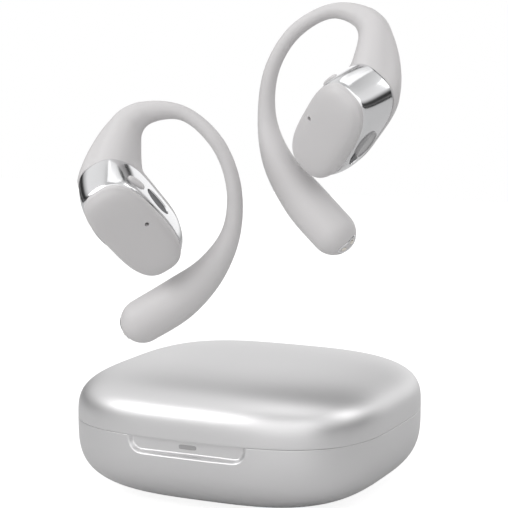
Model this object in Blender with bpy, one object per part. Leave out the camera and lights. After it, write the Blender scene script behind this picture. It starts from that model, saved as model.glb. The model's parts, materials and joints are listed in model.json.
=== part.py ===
"""Open-ear hook earphones, a mirrored pair held above their closed charging case.

The case stands on its flat base with its long side along X, its finger notch towards -Y and its lid hinge
at the rear, +Y. Each bud is designed once in its own frame (x along the capsule towards its free end, y
towards the ear hook's loop, z out of the touch face) and placed twice, the right one mirrored in y.
Sizes are in millimetres and are scaled to metres when a mesh is made.
"""
import math

import bmesh
import bpy
from mathutils import Euler, Matrix, Vector

MM = 0.001
GAP = 0.3  # between pieces that touch

# Case: a pebble, superelliptic in plan and in profile
CASE_HALF_LENGTH = 45.0
CASE_HALF_DEPTH = 42.0
LID_HEIGHT = 14.8
BASE_DROP = 21.4  # from the seam to the pebble's lowest point, before the foot is cut flat
FOOT_RATIO = 0.55  # flat foot's size as a share of the plan
PLAN_POWER = 3.2
PROFILE_POWER = 3.5
CASE_WALL = 1.6
CASE_FLOOR = 1.6
SEAM_BEVEL = 0.5
CASE_SEGMENTS = 40
PROFILE_STEPS = 6

# Tray with its two wells
LEDGE_DEPTH = 2.2
LEDGE_WIDTH = 1.2
TRAY_THICKNESS = 1.2
WELL_HALF_WIDTH = 18.6
WELL_END_MARGIN = 13.4  # from a well's end to the case's outer face
WELL_WALL = 1.0
WELL_CENTRE_X = 20.6
WELL_FLOOR_Z = 8.6
WELL_POWER = 3.0

# Finger notch and what lies behind it
NOTCH_HALF_WIDTH = 17.6
NOTCH_HEIGHT = 4.9
NOTCH_DEPTH = 1.6
NOTCH_WALL = 1.6
NOTCH_ROUND = 2.0
SHELF_Z = 12.5
SHELF_THICKNESS = 1.5
SHELF_REACH = 2.6
TONGUE_HALF_WIDTH = 7.0
TONGUE_REACH = 8.4
LIGHT_LENGTH = 5.2
LIGHT_HEIGHT = 1.25
LIGHT_DROP = 1.9  # light's centre below the seam

# Lid hinge
KNUCKLE_RADIUS = 1.3
PIN_RADIUS = 0.5
PIN_CLEARANCE = 0.15
HINGE_HALF_WIDTH = 19.4
LID_KNUCKLE_HALF_WIDTH = 11.7
LEAF_THICKNESS = 1.0
LEAF_DROP = 7.0

# Lid liner
LINER_RIM_WIDTH = 3.4
LINER_WALL = 1.0
LINER_RIM_THICKNESS = 1.2
LINER_RISE = 0.6

# Small pieces in the case
MAGNET_SIZE = (8.0, 1.6, 3.0)
MAGNET_X = 13.6
BATTERY_LENGTH = 34.0
BATTERY_THICKNESS = 4.2
BATTERY_TO_BOARD = 5.6
BATTERY_TO_FRONT = 25.0  # from the case's outer face
BOARD_SIZE = (40.0, 19.0, 1.0)
BOARD_Z = 4.6
BOARD_TO_WALL = 9.6
SOCKET_SIZE = (8.9, 8.4, 3.2)
SOCKET_WALL = 0.5
SOCKET_SETBACK = 4.4  # from the case's outer face
SOCKET_TONGUE_SIZE = (6.6, 0.7)
SOCKET_ROOM = 14.0
BUTTON_RADIUS = 2.3
BUTTON_SETBACK = 6.4  # from the notch wall's inner face
BUTTON_PROUD = 0.5
BUTTON_TRAVEL = 0.5
SWITCH_SIZE = (4.0, 3.6, 1.8)
SWITCH_BOARD_SIZE = (12.0, 4.6, 0.8)
PIN_BLOCK_SIZE = (8.0, 4.0, 3.0)
PIN_BLOCK_TO_END = 10.2  # from the well's front end
CHARGE_PIN_RADIUS = 0.6
CHARGE_PIN_PITCH = 3.6
CHARGE_PIN_PROUD = 0.9
CHARGE_PIN_TRAVEL = 0.8

# Bud capsule
CAPSULE_HALF_LENGTH = 14.0
CAPSULE_HALF_WIDTH = 7.1
CAPSULE_POWER = 2.6
CAPSULE_SEGMENTS = 24
COVER_DEPTH = 3.8
HOUSING_BACK = -10.5
EAR_COVER_BACK = -16.2
CAPSULE_WALL = 0.9
COVER_WALL = 1.0
SPLIT_GAP = 0.3
MIC_HOLE = (-1.1, 4.4)
MIC_HOLE_RADIUS = 0.45

# Openings in the capsule's sides: centre x, centre z, half length, half height
LOOP_GRILLE = (-0.8, -6.8, 4.2, 1.5)
CONTROL_PAD = (-8.2, -6.2, 2.5, 1.2)
OUTLET_GRILLE = (1.2, -6.9, 5.2, 2.1)
TRIM_THICKNESS = 0.6

# Ear hook: its centre line and radius from the capsule (first) to the battery barrel's end (last)
HOOK_SPINE = (
    (-9.6, 1.8, -15.0, 5.9),
    (-13.0, 10.8, -21.6, 3.3),
    (-9.1, 20.8, -21.8, 1.85),
    (-0.7, 24.8, -16.4, 1.75),
    (8.6, 23.0, -10.9, 1.8),
    (17.0, 16.5, -7.0, 2.25),
    (21.5, 7.3, -4.1, 3.7),
    (23.9, -3.5, -3.9, 5.2),
    (23.8, -14.1, -3.5, 5.35),
)
HOOK_SEGMENTS = 12
FLEX_STATION = 3.3  # where the hook bends, in spine points from the capsule
BARREL_STATION = 6.7  # where the wire bore opens into the battery's chamber
BORE_RADIUS = 0.85
WIRE_RADIUS = 0.5
BARREL_WALL = 1.0
FLEX_GAP = 0.3
CELL_LENGTH = 11.0
CONTACT_NORMAL = (-0.25, -0.93, 0.1)
CONTACT_LONG_AXIS = (2.7, 0.2, 4.3)
CONTACT_HALF_LENGTH = 2.7
CONTACT_HALF_WIDTH = 1.35
CONTACT_DEPTH = 0.9
CONTACT_PAD_RADIUS = 0.6
CONTACT_PAD_OFFSET = 1.45

# Where each bud hangs: place of its face centre and its turn about X, Y and Z in degrees
BUD_POSES = {
    "left": ((15.5, -96.6, 82.6), (132.9, 44.1, 66.0), 1.0),
    "right": ((54.9, -81.8, 106.0), (-117.2, 39.9, 140.2), -1.0),
}

SEAM_Z = BASE_DROP * (1 - FOOT_RATIO**PROFILE_POWER) ** (1 / PROFILE_POWER)
HINGE_Y = CASE_HALF_DEPTH - KNUCKLE_RADIUS
NOTCH_FACE_Y = -CASE_HALF_DEPTH + NOTCH_DEPTH
NOTCH_BACK_Y = NOTCH_FACE_Y + NOTCH_WALL
TRAY_TOP_Z = SEAM_Z - LEDGE_DEPTH + GAP + TRAY_THICKNESS
TRAY_INSET = CASE_WALL + GAP
LEDGE_INSET = CASE_WALL + LEDGE_WIDTH
LINER_RIM_INSET = CASE_WALL + LINER_RIM_WIDTH
WELL_HALF_LENGTH = CASE_HALF_DEPTH - WELL_END_MARGIN
BUTTON_Y = NOTCH_BACK_Y + BUTTON_SETBACK
PIN_BLOCK_Y = PIN_BLOCK_TO_END - WELL_HALF_LENGTH
BOARD_FRONT_Y = CASE_HALF_DEPTH - LEDGE_INSET - BOARD_TO_WALL - BOARD_SIZE[1]
BATTERY_BACK_Y = BOARD_FRONT_Y - BATTERY_TO_BOARD
BATTERY_FRONT_Y = BATTERY_TO_FRONT - CASE_HALF_DEPTH
SOCKET_BACK_Y = CASE_HALF_DEPTH - SOCKET_SETBACK


# ---------------------------------------------------------------- scene and materials

def clear_scene():
    """Remove every object, so that the script gives the same model each run."""
    for item in list(bpy.data.objects):
        bpy.data.objects.remove(item, do_unlink=True)


def make_collection(name):
    """Make a collection in the scene."""
    group = bpy.data.collections.new(name)
    bpy.context.scene.collection.children.link(group)
    return group


def make_material(name, colour, roughness, metallic=0.0):
    """Make a Principled material of one colour."""
    material = bpy.data.materials.new(name)
    material.use_nodes = True
    shader = material.node_tree.nodes["Principled BSDF"]
    shader.inputs["Base Color"].default_value = (*colour, 1.0)
    shader.inputs["Roughness"].default_value = roughness
    shader.inputs["Metallic"].default_value = metallic
    material.diffuse_color = (*colour, 1.0)
    return material


clear_scene()
PARTS = make_collection("hook_earphones")
CUTTERS = make_collection("cutters")
SATIN = make_material("satin_silver", (0.66, 0.65, 0.66), 0.32, 0.85)
SOFT = make_material("soft_touch", (0.60, 0.58, 0.59), 0.55)
PLATED = make_material("plated", (0.80, 0.80, 0.81), 0.10, 1.0)
INNER = make_material("inner_plastic", (0.42, 0.41, 0.42), 0.5)
MESH = make_material("grille_mesh", (0.16, 0.16, 0.17), 0.6)
BOARD = make_material("board", (0.03, 0.16, 0.08), 0.5)
CELL = make_material("cell", (0.22, 0.24, 0.28), 0.4)
STEEL = make_material("steel", (0.62, 0.62, 0.63), 0.25, 1.0)
GOLD = make_material("gold_contact", (0.83, 0.65, 0.33), 0.2, 1.0)
LENS = make_material("light_lens", (0.35, 0.35, 0.36), 0.3)


# ---------------------------------------------------------------- shapes

def new_object(name, bm, material):
    """Turn a bmesh in millimetres into an object in metres."""
    bmesh.ops.recalc_face_normals(bm, faces=bm.faces)
    bmesh.ops.scale(bm, vec=(MM, MM, MM), verts=bm.verts)
    mesh = bpy.data.meshes.new(name)
    bm.to_mesh(mesh)
    bm.free()
    mesh.shade_smooth()
    mesh.set_sharp_from_angle(angle=math.radians(35))
    item = bpy.data.objects.new(name, mesh)
    if material:
        mesh.materials.append(material)
    PARTS.objects.link(item)
    return item


def as_cutter(item):
    """Keep an object as a tool for a Boolean and out of the model."""
    for group in list(item.users_collection):
        group.objects.unlink(item)
    CUTTERS.objects.link(item)
    item.hide_render = True
    item.display_type = "WIRE"
    return item


def boolean(target, tool, operation="DIFFERENCE"):
    """Add an exact Boolean with a tool to a target."""
    as_cutter(tool)
    modifier = target.modifiers.new(tool.name, "BOOLEAN")
    modifier.operation = operation
    modifier.object = tool
    return target


def loft(name, rings, material, closed=False):
    """Skin a list of rings: capped at both ends, or joined end to end where closed."""
    bm = bmesh.new()
    rows = [[bm.verts.new(point) for point in ring] for ring in rings]
    pairs = list(zip(rows, rows[1:]))
    if closed:
        pairs.append((rows[-1], rows[0]))
    else:
        bm.faces.new(rows[0])
        bm.faces.new(rows[-1])
    for first, second in pairs:
        count = len(first)
        for i in range(count):
            j = (i + 1) % count
            bm.faces.new((first[i], first[j], second[j], second[i]))
    return new_object(name, bm, material)


def box(name, low, high, material=None, bevel=0.0):
    """Make a box from its low and high corners, with rounded edges where a bevel is given."""
    bm = bmesh.new()
    bmesh.ops.create_cube(bm, size=1.0)
    size = [b - a for a, b in zip(low, high)]
    middle = [(a + b) / 2 for a, b in zip(low, high)]
    bmesh.ops.scale(bm, vec=size, verts=bm.verts)
    bmesh.ops.translate(bm, vec=middle, verts=bm.verts)
    if bevel:
        bmesh.ops.bevel(bm, geom=bm.edges[:], offset=bevel, segments=2, affect="EDGES", profile=0.5)
    return new_object(name, bm, material)


def centred_box(name, centre, size, material=None, bevel=0.0):
    """Make a box from its centre and size."""
    low = [c - s / 2 for c, s in zip(centre, size)]
    high = [c + s / 2 for c, s in zip(centre, size)]
    return box(name, low, high, material, bevel)


def cylinder(name, start, end, radius, material=None, segments=16):
    """Make a closed cylinder between two points."""
    start = Vector(start)
    axis = Vector(end) - start
    bm = bmesh.new()
    bmesh.ops.create_cone(bm, cap_ends=True, segments=segments, radius1=radius, radius2=radius,
                          depth=axis.length)
    turn = axis.to_track_quat("Z", "Y").to_matrix().to_4x4()
    bmesh.ops.transform(bm, matrix=Matrix.Translation(start + axis / 2) @ turn, verts=bm.verts)
    return new_object(name, bm, material)


def superellipse(half_x, half_y, power, z, segments, centre=(0.0, 0.0)):
    """Give one level ring of a superellipse."""
    ring = []
    for k in range(segments):
        angle = 2 * math.pi * k / segments
        c, s = math.cos(angle), math.sin(angle)
        x = half_x * math.copysign(abs(c) ** (2 / power), c)
        y = half_y * math.copysign(abs(s) ** (2 / power), s)
        ring.append(Vector((centre[0] + x, centre[1] + y, z)))
    return ring


def prism(name, half_length, half_height, frame, depth, material=None, power=2.0, segments=20):
    """Make a plate with a superelliptic outline, centred on a frame and running along its z by depth."""
    bm = bmesh.new()
    rows = []
    for z in (-depth / 2, depth / 2):
        ring = superellipse(half_length, half_height, power, z, segments)
        rows.append([bm.verts.new(frame @ point) for point in ring])
    bm.faces.new(rows[0])
    bm.faces.new(rows[1])
    for i in range(segments):
        j = (i + 1) % segments
        bm.faces.new((rows[0][i], rows[0][j], rows[1][j], rows[1][i]))
    return new_object(name, bm, material)


def bake(item):
    """Evaluate an object with its modifiers and give the finished mesh."""
    graph = bpy.context.evaluated_depsgraph_get()
    mesh = bpy.data.meshes.new_from_object(item.evaluated_get(graph))
    mesh.transform(item.matrix_world)
    name = item.name
    bpy.data.objects.remove(item, do_unlink=True)
    return name, mesh


# ---------------------------------------------------------------- charging case

def pebble_share(height, half_height):
    """Give the plan's share of its full size at a height from the seam."""
    ratio = min(abs(height) / half_height, 1.0)
    return (1 - ratio**PROFILE_POWER) ** (1 / PROFILE_POWER)


def pebble_ring(height, half_height, inset, share=None):
    """Give the pebble's ring at a height from the seam, inset from the outer surface."""
    if share is None:
        share = pebble_share(height, half_height)
    return superellipse((CASE_HALF_LENGTH - inset) * share, (CASE_HALF_DEPTH - inset) * share,
                        PLAN_POWER, SEAM_Z + height, CASE_SEGMENTS)


def pebble_rings(half_height, inset, last_share, direction):
    """Give rings from the seam outwards to where the plan has shrunk to last_share."""
    limit = math.acos(last_share ** (PROFILE_POWER / 2))
    rings = []
    for k in range(PROFILE_STEPS + 1):
        angle = limit * k / PROFILE_STEPS
        share = math.cos(angle) ** (2 / PROFILE_POWER)
        height = direction * half_height * math.sin(angle) ** (2 / PROFILE_POWER)
        rings.append(pebble_ring(height, half_height, inset, share))
    return rings


def plan_depth(x, inset, share=1.0):
    """Give the plan's half depth at a distance from the middle."""
    ratio = min(abs(x) / ((CASE_HALF_LENGTH - inset) * share), 1.0)
    return (CASE_HALF_DEPTH - inset) * share * (1 - ratio**PLAN_POWER) ** (1 / PLAN_POWER)


def base_leaf_back():
    """Give the rear face of the base's hinge leaf, just clear of the base's inner wall."""
    share = pebble_share(-LEAF_DROP, BASE_DROP - CASE_WALL)
    return plan_depth(HINGE_HALF_WIDTH, LEDGE_INSET, share) - GAP


def lid_leaf_back():
    """Give the rear face of the lid's hinge leaf, just clear of the lid's inner wall."""
    share = pebble_share(LEAF_DROP, LID_HEIGHT - CASE_WALL)
    return plan_depth(LID_KNUCKLE_HALF_WIDTH, CASE_WALL, share) - GAP


def make_base_shell():
    """Lower shell: pebble outside, cavity with a ledge inside, finger notch, socket and hinge cuts."""
    edge = -GAP / 2
    outer = [pebble_ring(edge, BASE_DROP, SEAM_BEVEL), pebble_ring(edge - SEAM_BEVEL, BASE_DROP, 0.0)]
    outer += pebble_rings(BASE_DROP, 0.0, FOOT_RATIO, -1)[1:]
    shell = loft("base_shell", outer, SATIN)

    ledge = LEDGE_INSET
    inner_drop = BASE_DROP - CASE_WALL
    floor = CASE_FLOOR - SEAM_Z
    cavity = [pebble_ring(3.0, BASE_DROP, CASE_WALL, 1.0), pebble_ring(-LEDGE_DEPTH, BASE_DROP, CASE_WALL, 1.0)]
    cavity += [pebble_ring(floor * k / PROFILE_STEPS, inner_drop, ledge) for k in range(1, PROFILE_STEPS + 1)
               if floor * k / PROFILE_STEPS <= -LEDGE_DEPTH]
    cavity.insert(2, pebble_ring(-LEDGE_DEPTH, inner_drop, ledge))
    hollow = loft("base_cavity", cavity, None)

    front_y = -CASE_HALF_DEPTH - 1
    half = NOTCH_HALF_WIDTH + NOTCH_WALL
    block = box("notch_block", (-half, front_y, SHELF_Z), (half, NOTCH_BACK_Y, SEAM_Z + 4))
    shelf = box("notch_shelf", (-half, front_y, SHELF_Z), (half, NOTCH_BACK_Y + SHELF_REACH,
                                                          SHELF_Z + SHELF_THICKNESS))
    tongue = box("shelf_tongue", (-TONGUE_HALF_WIDTH, front_y, SHELF_Z),
                 (TONGUE_HALF_WIDTH, NOTCH_BACK_Y + TONGUE_REACH, SHELF_Z + SHELF_THICKNESS))
    for piece in (block, shelf, tongue):
        boolean(hollow, piece)
    boolean(shell, hollow)

    low = SEAM_Z - NOTCH_HEIGHT
    notch = box("finger_notch", (-NOTCH_HALF_WIDTH, front_y - 2, low), (NOTCH_HALF_WIDTH, NOTCH_FACE_Y, SEAM_Z + 6),
                bevel=NOTCH_ROUND)
    boolean(shell, notch)
    light_frame = Matrix.Translation((0, NOTCH_BACK_Y, SEAM_Z - LIGHT_DROP)) @ Matrix.Rotation(math.pi / 2, 4, "X")
    light_hole = prism("light_hole", LIGHT_LENGTH / 2 + GAP, LIGHT_HEIGHT / 2 + GAP, light_frame, 12, power=3.0)
    boolean(shell, light_hole)

    socket_z = BOARD_Z + BOARD_SIZE[2] + GAP + SOCKET_SIZE[2] / 2
    socket_hole = centred_box("socket_hole", (0, SOCKET_BACK_Y, socket_z),
                              (SOCKET_SIZE[0] + 2 * GAP, SOCKET_ROOM, SOCKET_SIZE[2] + 2 * GAP), bevel=0.9)
    boolean(shell, socket_hole)
    hinge_cut = box("base_hinge_cut", (-HINGE_HALF_WIDTH - 0.6, HINGE_Y - KNUCKLE_RADIUS - 1.5,
                                       SEAM_Z - KNUCKLE_RADIUS - 0.4),
                    (HINGE_HALF_WIDTH + 0.6, CASE_HALF_DEPTH + 2, SEAM_Z + 5))
    boolean(shell, hinge_cut)
    return shell


def make_lid_shell():
    """Upper shell: pebble outside, open below, cut out at the rear for the hinge."""
    edge = GAP / 2
    outer = [pebble_ring(edge, LID_HEIGHT, SEAM_BEVEL), pebble_ring(edge + SEAM_BEVEL, LID_HEIGHT, 0.0)]
    outer += pebble_rings(LID_HEIGHT, 0.0, 0.2, 1)[1:]
    shell = loft("lid_shell", outer, SATIN)
    cavity = [pebble_ring(-3.0, LID_HEIGHT, CASE_WALL, 1.0)]
    cavity += pebble_rings(LID_HEIGHT - CASE_WALL, CASE_WALL, 0.2, 1)
    boolean(shell, loft("lid_cavity", cavity, None))
    hinge_cut = box("lid_hinge_cut", (-HINGE_HALF_WIDTH - 0.6, HINGE_Y - KNUCKLE_RADIUS - 1.5, SEAM_Z - 5),
                    (HINGE_HALF_WIDTH + 0.6, CASE_HALF_DEPTH + 2, SEAM_Z + KNUCKLE_RADIUS + 0.4))
    boolean(shell, hinge_cut)
    return shell


def make_lid_liner():
    """Inner lid cup, with a rim that closes the gap to the lid's wall."""
    top = LID_HEIGHT - CASE_WALL - GAP
    inset = LINER_RIM_INSET
    rim_low, rim_high = LINER_RISE, LINER_RISE + LINER_RIM_THICKNESS
    wall_height = LID_HEIGHT - CASE_WALL
    heights = [rim_high + (top - rim_high) * k / 4 for k in range(5)]
    shares = [pebble_share(height, wall_height) for height in heights]
    outer = [pebble_ring(rim_low, 1, TRAY_INSET, 1.0), pebble_ring(rim_high, 1, TRAY_INSET, 1.0)]
    outer += [pebble_ring(height, 1, inset, share) for height, share in zip(heights, shares)]
    inner = [pebble_ring(height - LINER_WALL * k / 4, 1, inset + LINER_WALL, share)
             for k, (height, share) in enumerate(zip(heights, shares))]
    inner[0] = pebble_ring(rim_low, 1, inset + LINER_WALL, 1.0)
    liner = loft("lid_liner", list(reversed(inner)) + outer, INNER)
    cut = box("liner_hinge_cut", (-HINGE_HALF_WIDTH - 1.0, CASE_HALF_DEPTH - LINER_RIM_INSET + GAP, SEAM_Z - 3),
              (HINGE_HALF_WIDTH + 1.0, CASE_HALF_DEPTH + 2, SEAM_Z + rim_high + 1.0))
    boolean(liner, cut)
    return liner


def well_rings(side, grow, floor_z, top_z):
    """Give the rings of one well, from its mouth down to its rounded floor."""
    depth = top_z - floor_z
    centre = (side * WELL_CENTRE_X, 0.0)
    rings = []
    for share, drop in ((1.0, 0.0), (0.985, 0.45), (0.95, 0.8), (0.90, 0.94), (0.82, 1.0)):
        rings.append(superellipse((WELL_HALF_WIDTH + grow) * share, (WELL_HALF_LENGTH + grow) * share,
                                  WELL_POWER, top_z - depth * drop, 32, centre))
    return rings


def make_tray():
    """Inner tray: a plate on the base's ledge with two wells hanging from it."""
    low = TRAY_TOP_Z - TRAY_THICKNESS - SEAM_Z
    plate = loft("tray", [pebble_ring(low, 1, TRAY_INSET, 1.0),
                          pebble_ring(TRAY_TOP_Z - SEAM_Z, 1, TRAY_INSET, 1.0)], INNER)
    for side, name in ((-1, "left"), (1, "right")):
        cup = loft(f"{name}_cup", well_rings(side, WELL_WALL, WELL_FLOOR_Z - WELL_WALL, TRAY_TOP_Z - 0.2), None)
        boolean(plate, cup, "UNION")
    for side, name in ((-1, "left"), (1, "right")):
        well = loft(f"{name}_well", well_rings(side, 0.0, WELL_FLOOR_Z, TRAY_TOP_Z + 1.0), None)
        boolean(plate, well)
    front = box("tray_front_cut", (-NOTCH_HALF_WIDTH - NOTCH_WALL - GAP, -CASE_HALF_DEPTH - 2, SEAM_Z - 9),
                (NOTCH_HALF_WIDTH + NOTCH_WALL + GAP, NOTCH_BACK_Y + GAP, SEAM_Z + 3))
    rear = box("tray_rear_cut", (-HINGE_HALF_WIDTH - 1.0, base_leaf_back() - LEAF_THICKNESS - GAP, SEAM_Z - 9),
               (HINGE_HALF_WIDTH + 1.0, CASE_HALF_DEPTH + 2, SEAM_Z + 3))
    hole = cylinder("button_hole", (0, BUTTON_Y, TRAY_TOP_Z - 6), (0, BUTTON_Y, TRAY_TOP_Z + 3),
                    BUTTON_RADIUS + GAP)
    for cut in (front, rear, hole):
        boolean(plate, cut)
    return plate


def make_hinge():
    """Hinge pin, the base's leaf with two knuckles and the lid's leaf with one between them."""
    axis_z = SEAM_Z
    cylinder("hinge_pin", (-HINGE_HALF_WIDTH, HINGE_Y, axis_z), (HINGE_HALF_WIDTH, HINGE_Y, axis_z),
             PIN_RADIUS, STEEL, 12)
    inner_edge = LID_KNUCKLE_HALF_WIDTH + GAP
    leaf_back = base_leaf_back()
    base_leaf = box("base_hinge_leaf", (-HINGE_HALF_WIDTH, leaf_back - LEAF_THICKNESS, axis_z - LEAF_DROP),
                    (HINGE_HALF_WIDTH, leaf_back, axis_z - KNUCKLE_RADIUS - 0.2), STEEL)
    lid_back = lid_leaf_back() - LEAF_THICKNESS
    lid_leaf = box("lid_hinge_leaf", (-LID_KNUCKLE_HALF_WIDTH + 0.3, lid_back, axis_z + 0.5),
                   (LID_KNUCKLE_HALF_WIDTH - 0.3, lid_back + LEAF_THICKNESS, axis_z + LEAF_DROP), STEEL)
    lid_arm = box("lid_hinge_arm", (-LID_KNUCKLE_HALF_WIDTH + 0.6, lid_back + 0.1, axis_z - 0.3),
                  (LID_KNUCKLE_HALF_WIDTH - 0.6, HINGE_Y, axis_z + KNUCKLE_RADIUS - 0.2))
    lid_knuckle = cylinder("lid_knuckle", (-LID_KNUCKLE_HALF_WIDTH, HINGE_Y, axis_z),
                           (LID_KNUCKLE_HALF_WIDTH, HINGE_Y, axis_z), KNUCKLE_RADIUS)
    for tool in (lid_arm, lid_knuckle):
        boolean(lid_leaf, tool, "UNION")
    for side, name in ((-1, "left"), (1, "right")):
        low, high = sorted((side * inner_edge, side * HINGE_HALF_WIDTH))
        arm = box(f"{name}_hinge_arm", (low + 0.3, leaf_back - LEAF_THICKNESS + 0.1, axis_z - KNUCKLE_RADIUS - 0.35),
                  (high - 0.3, HINGE_Y, axis_z - 0.1))
        knuckle = cylinder(f"{name}_knuckle", (low, HINGE_Y, axis_z), (high, HINGE_Y, axis_z), KNUCKLE_RADIUS)
        for tool in (arm, knuckle):
            boolean(base_leaf, tool, "UNION")
    for leaf, name in ((base_leaf, "base"), (lid_leaf, "lid")):
        bore = cylinder(f"{name}_leaf_bore", (-HINGE_HALF_WIDTH - 1, HINGE_Y, axis_z),
                        (HINGE_HALF_WIDTH + 1, HINGE_Y, axis_z), PIN_RADIUS + PIN_CLEARANCE, None, 12)
        boolean(leaf, bore)


def make_case_contents():
    """Battery, boards, socket, light, button, switch, charging pins and magnets."""
    low_z = CASE_FLOOR + GAP
    box("battery_pouch", (-BATTERY_LENGTH / 2, BATTERY_FRONT_Y, low_z),
        (BATTERY_LENGTH / 2, BATTERY_BACK_Y, low_z + BATTERY_THICKNESS), CELL, 0.8)
    x, y, z = BOARD_SIZE
    box("charge_board", (-x / 2, BOARD_FRONT_Y, BOARD_Z), (x / 2, BOARD_FRONT_Y + y, BOARD_Z + z), BOARD)

    x, y, z = SOCKET_SIZE
    socket_low = BOARD_Z + BOARD_SIZE[2] + GAP
    socket = box("usb_socket", (-x / 2, SOCKET_BACK_Y - y, socket_low), (x / 2, SOCKET_BACK_Y, socket_low + z), STEEL, 0.8)
    throat = box("socket_throat", (-x / 2 + SOCKET_WALL, SOCKET_BACK_Y - y + 1.6, socket_low + SOCKET_WALL),
                 (x / 2 - SOCKET_WALL, SOCKET_BACK_Y + 1, socket_low + z - SOCKET_WALL), bevel=0.5)
    half_width, half_height = (size / 2 for size in SOCKET_TONGUE_SIZE)
    tongue = box("socket_tongue", (-half_width, SOCKET_BACK_Y - y + 1.0, socket_low + z / 2 - half_height),
                 (half_width, SOCKET_BACK_Y - 1.2, socket_low + z / 2 + half_height))
    boolean(socket, throat)
    boolean(socket, tongue, "UNION")

    light_z = SEAM_Z - LIGHT_DROP
    light_depth = NOTCH_WALL - 0.1
    frame = Matrix.Translation((0, NOTCH_FACE_Y + 0.1 + light_depth / 2, light_z)) @ Matrix.Rotation(math.pi / 2, 4, "X")
    prism("status_light", LIGHT_LENGTH / 2, LIGHT_HEIGHT / 2, frame, light_depth, LENS, 3.0)

    shelf_top = SHELF_Z + SHELF_THICKNESS + GAP
    x, y, z = SWITCH_BOARD_SIZE
    box("switch_board", (-x / 2, BUTTON_Y - y / 2, shelf_top), (x / 2, BUTTON_Y + y / 2, shelf_top + z), BOARD)
    switch_low = shelf_top + z + GAP
    x, y, z = SWITCH_SIZE
    box("tact_switch", (-x / 2, BUTTON_Y - y / 2, switch_low), (x / 2, BUTTON_Y + y / 2, switch_low + z), STEEL, 0.3)
    button_low = switch_low + z + GAP + BUTTON_TRAVEL
    cylinder("pairing_button", (0, BUTTON_Y, button_low), (0, BUTTON_Y, TRAY_TOP_Z + BUTTON_PROUD),
             BUTTON_RADIUS, INNER)

    for side, name in ((-1, "left"), (1, "right")):
        make_charge_pins(side, name)
        make_magnets(side, name)


def make_charge_pins(side, name):
    """One well's pin block and its two spring pins."""
    x, y, z = PIN_BLOCK_SIZE
    centre_x = side * WELL_CENTRE_X
    low = WELL_FLOOR_Z + GAP
    block = box(f"{name}_pin_block", (centre_x - x / 2, PIN_BLOCK_Y - y / 2, low),
                (centre_x + x / 2, PIN_BLOCK_Y + y / 2, low + z), INNER, 0.4)
    for k, letter in ((-1, "a"), (1, "b")):
        pin_x = centre_x + k * CHARGE_PIN_PITCH / 2
        bore = cylinder(f"{name}_pin_bore_{letter}", (pin_x, PIN_BLOCK_Y, low - 2), (pin_x, PIN_BLOCK_Y, low + z + 2),
                        CHARGE_PIN_RADIUS + GAP, None, 12)
        boolean(block, bore)
        cylinder(f"{name}_charge_pin_{letter}", (pin_x, PIN_BLOCK_Y, WELL_FLOOR_Z + GAP + CHARGE_PIN_TRAVEL),
                 (pin_x, PIN_BLOCK_Y, low + z + CHARGE_PIN_PROUD), CHARGE_PIN_RADIUS, GOLD, 12)


def make_magnets(side, name):
    """The pair of closing magnets at one front corner."""
    x, y, z = MAGNET_SIZE
    centre_x = side * MAGNET_X
    back = -CASE_HALF_DEPTH + LINER_RIM_INSET - GAP
    lid_low = SEAM_Z + LINER_RISE + LINER_RIM_THICKNESS + GAP
    box(f"lid_magnet_{name}", (centre_x - x / 2, back - y, lid_low), (centre_x + x / 2, back, lid_low + z), STEEL, 0.3)
    base_low = SHELF_Z + SHELF_THICKNESS + GAP
    share = pebble_share(base_low - SEAM_Z, BASE_DROP - CASE_WALL)
    wall_y = -plan_depth(MAGNET_X + x / 2, LEDGE_INSET, share)
    front = max(NOTCH_BACK_Y, wall_y) + GAP
    box(f"base_magnet_{name}", (centre_x - x / 2, front, base_low), (centre_x + x / 2, front + y, base_low + z),
        STEEL, 0.3)


# ---------------------------------------------------------------- one bud, in its own frame

def capsule_ring(z, inset):
    """Give the capsule's ring at one depth, inset all round."""
    return superellipse(CAPSULE_HALF_LENGTH - inset, CAPSULE_HALF_WIDTH - inset, CAPSULE_POWER, z, CAPSULE_SEGMENTS)


def make_touch_cover():
    """Domed outer cover with its microphone hole."""
    outer = [(-COVER_DEPTH, 0.0), (-2.4, 0.1), (-1.2, 0.8), (-0.45, 1.9), (-0.05, 3.4), (0.2, 5.4)]
    inner = [(z - COVER_WALL, inset + 0.5 * COVER_WALL) for z, inset in outer[2:]]
    inner.insert(0, (-COVER_DEPTH, COVER_WALL))
    profile = list(reversed(outer)) + inner
    cover = loft("touch_cover", [capsule_ring(z, inset) for z, inset in profile], SOFT)
    hole = cylinder("mic_hole", (*MIC_HOLE, -4), (*MIC_HOLE, 2), MIC_HOLE_RADIUS, None, 12)
    return boolean(cover, hole)


def side_frame(opening, side):
    """Give a frame on the capsule's side wall: x along the wall, y along the capsule's depth, z outwards."""
    x, z = opening[0], opening[1]
    along = abs(x) / CAPSULE_HALF_LENGTH
    across = (1 - along**CAPSULE_POWER) ** (1 / CAPSULE_POWER)
    slope = CAPSULE_POWER - 1
    normal = Vector((math.copysign(along**slope, x) / CAPSULE_HALF_LENGTH,
                     side * across**slope / CAPSULE_HALF_WIDTH, 0.0)).normalized()
    turn = Matrix(((-normal.y, normal.x, 0.0), (0.0, 0.0, 1.0), normal)).transposed().to_4x4()
    return Matrix.Translation((x, side * across * CAPSULE_HALF_WIDTH, z)) @ turn


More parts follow.
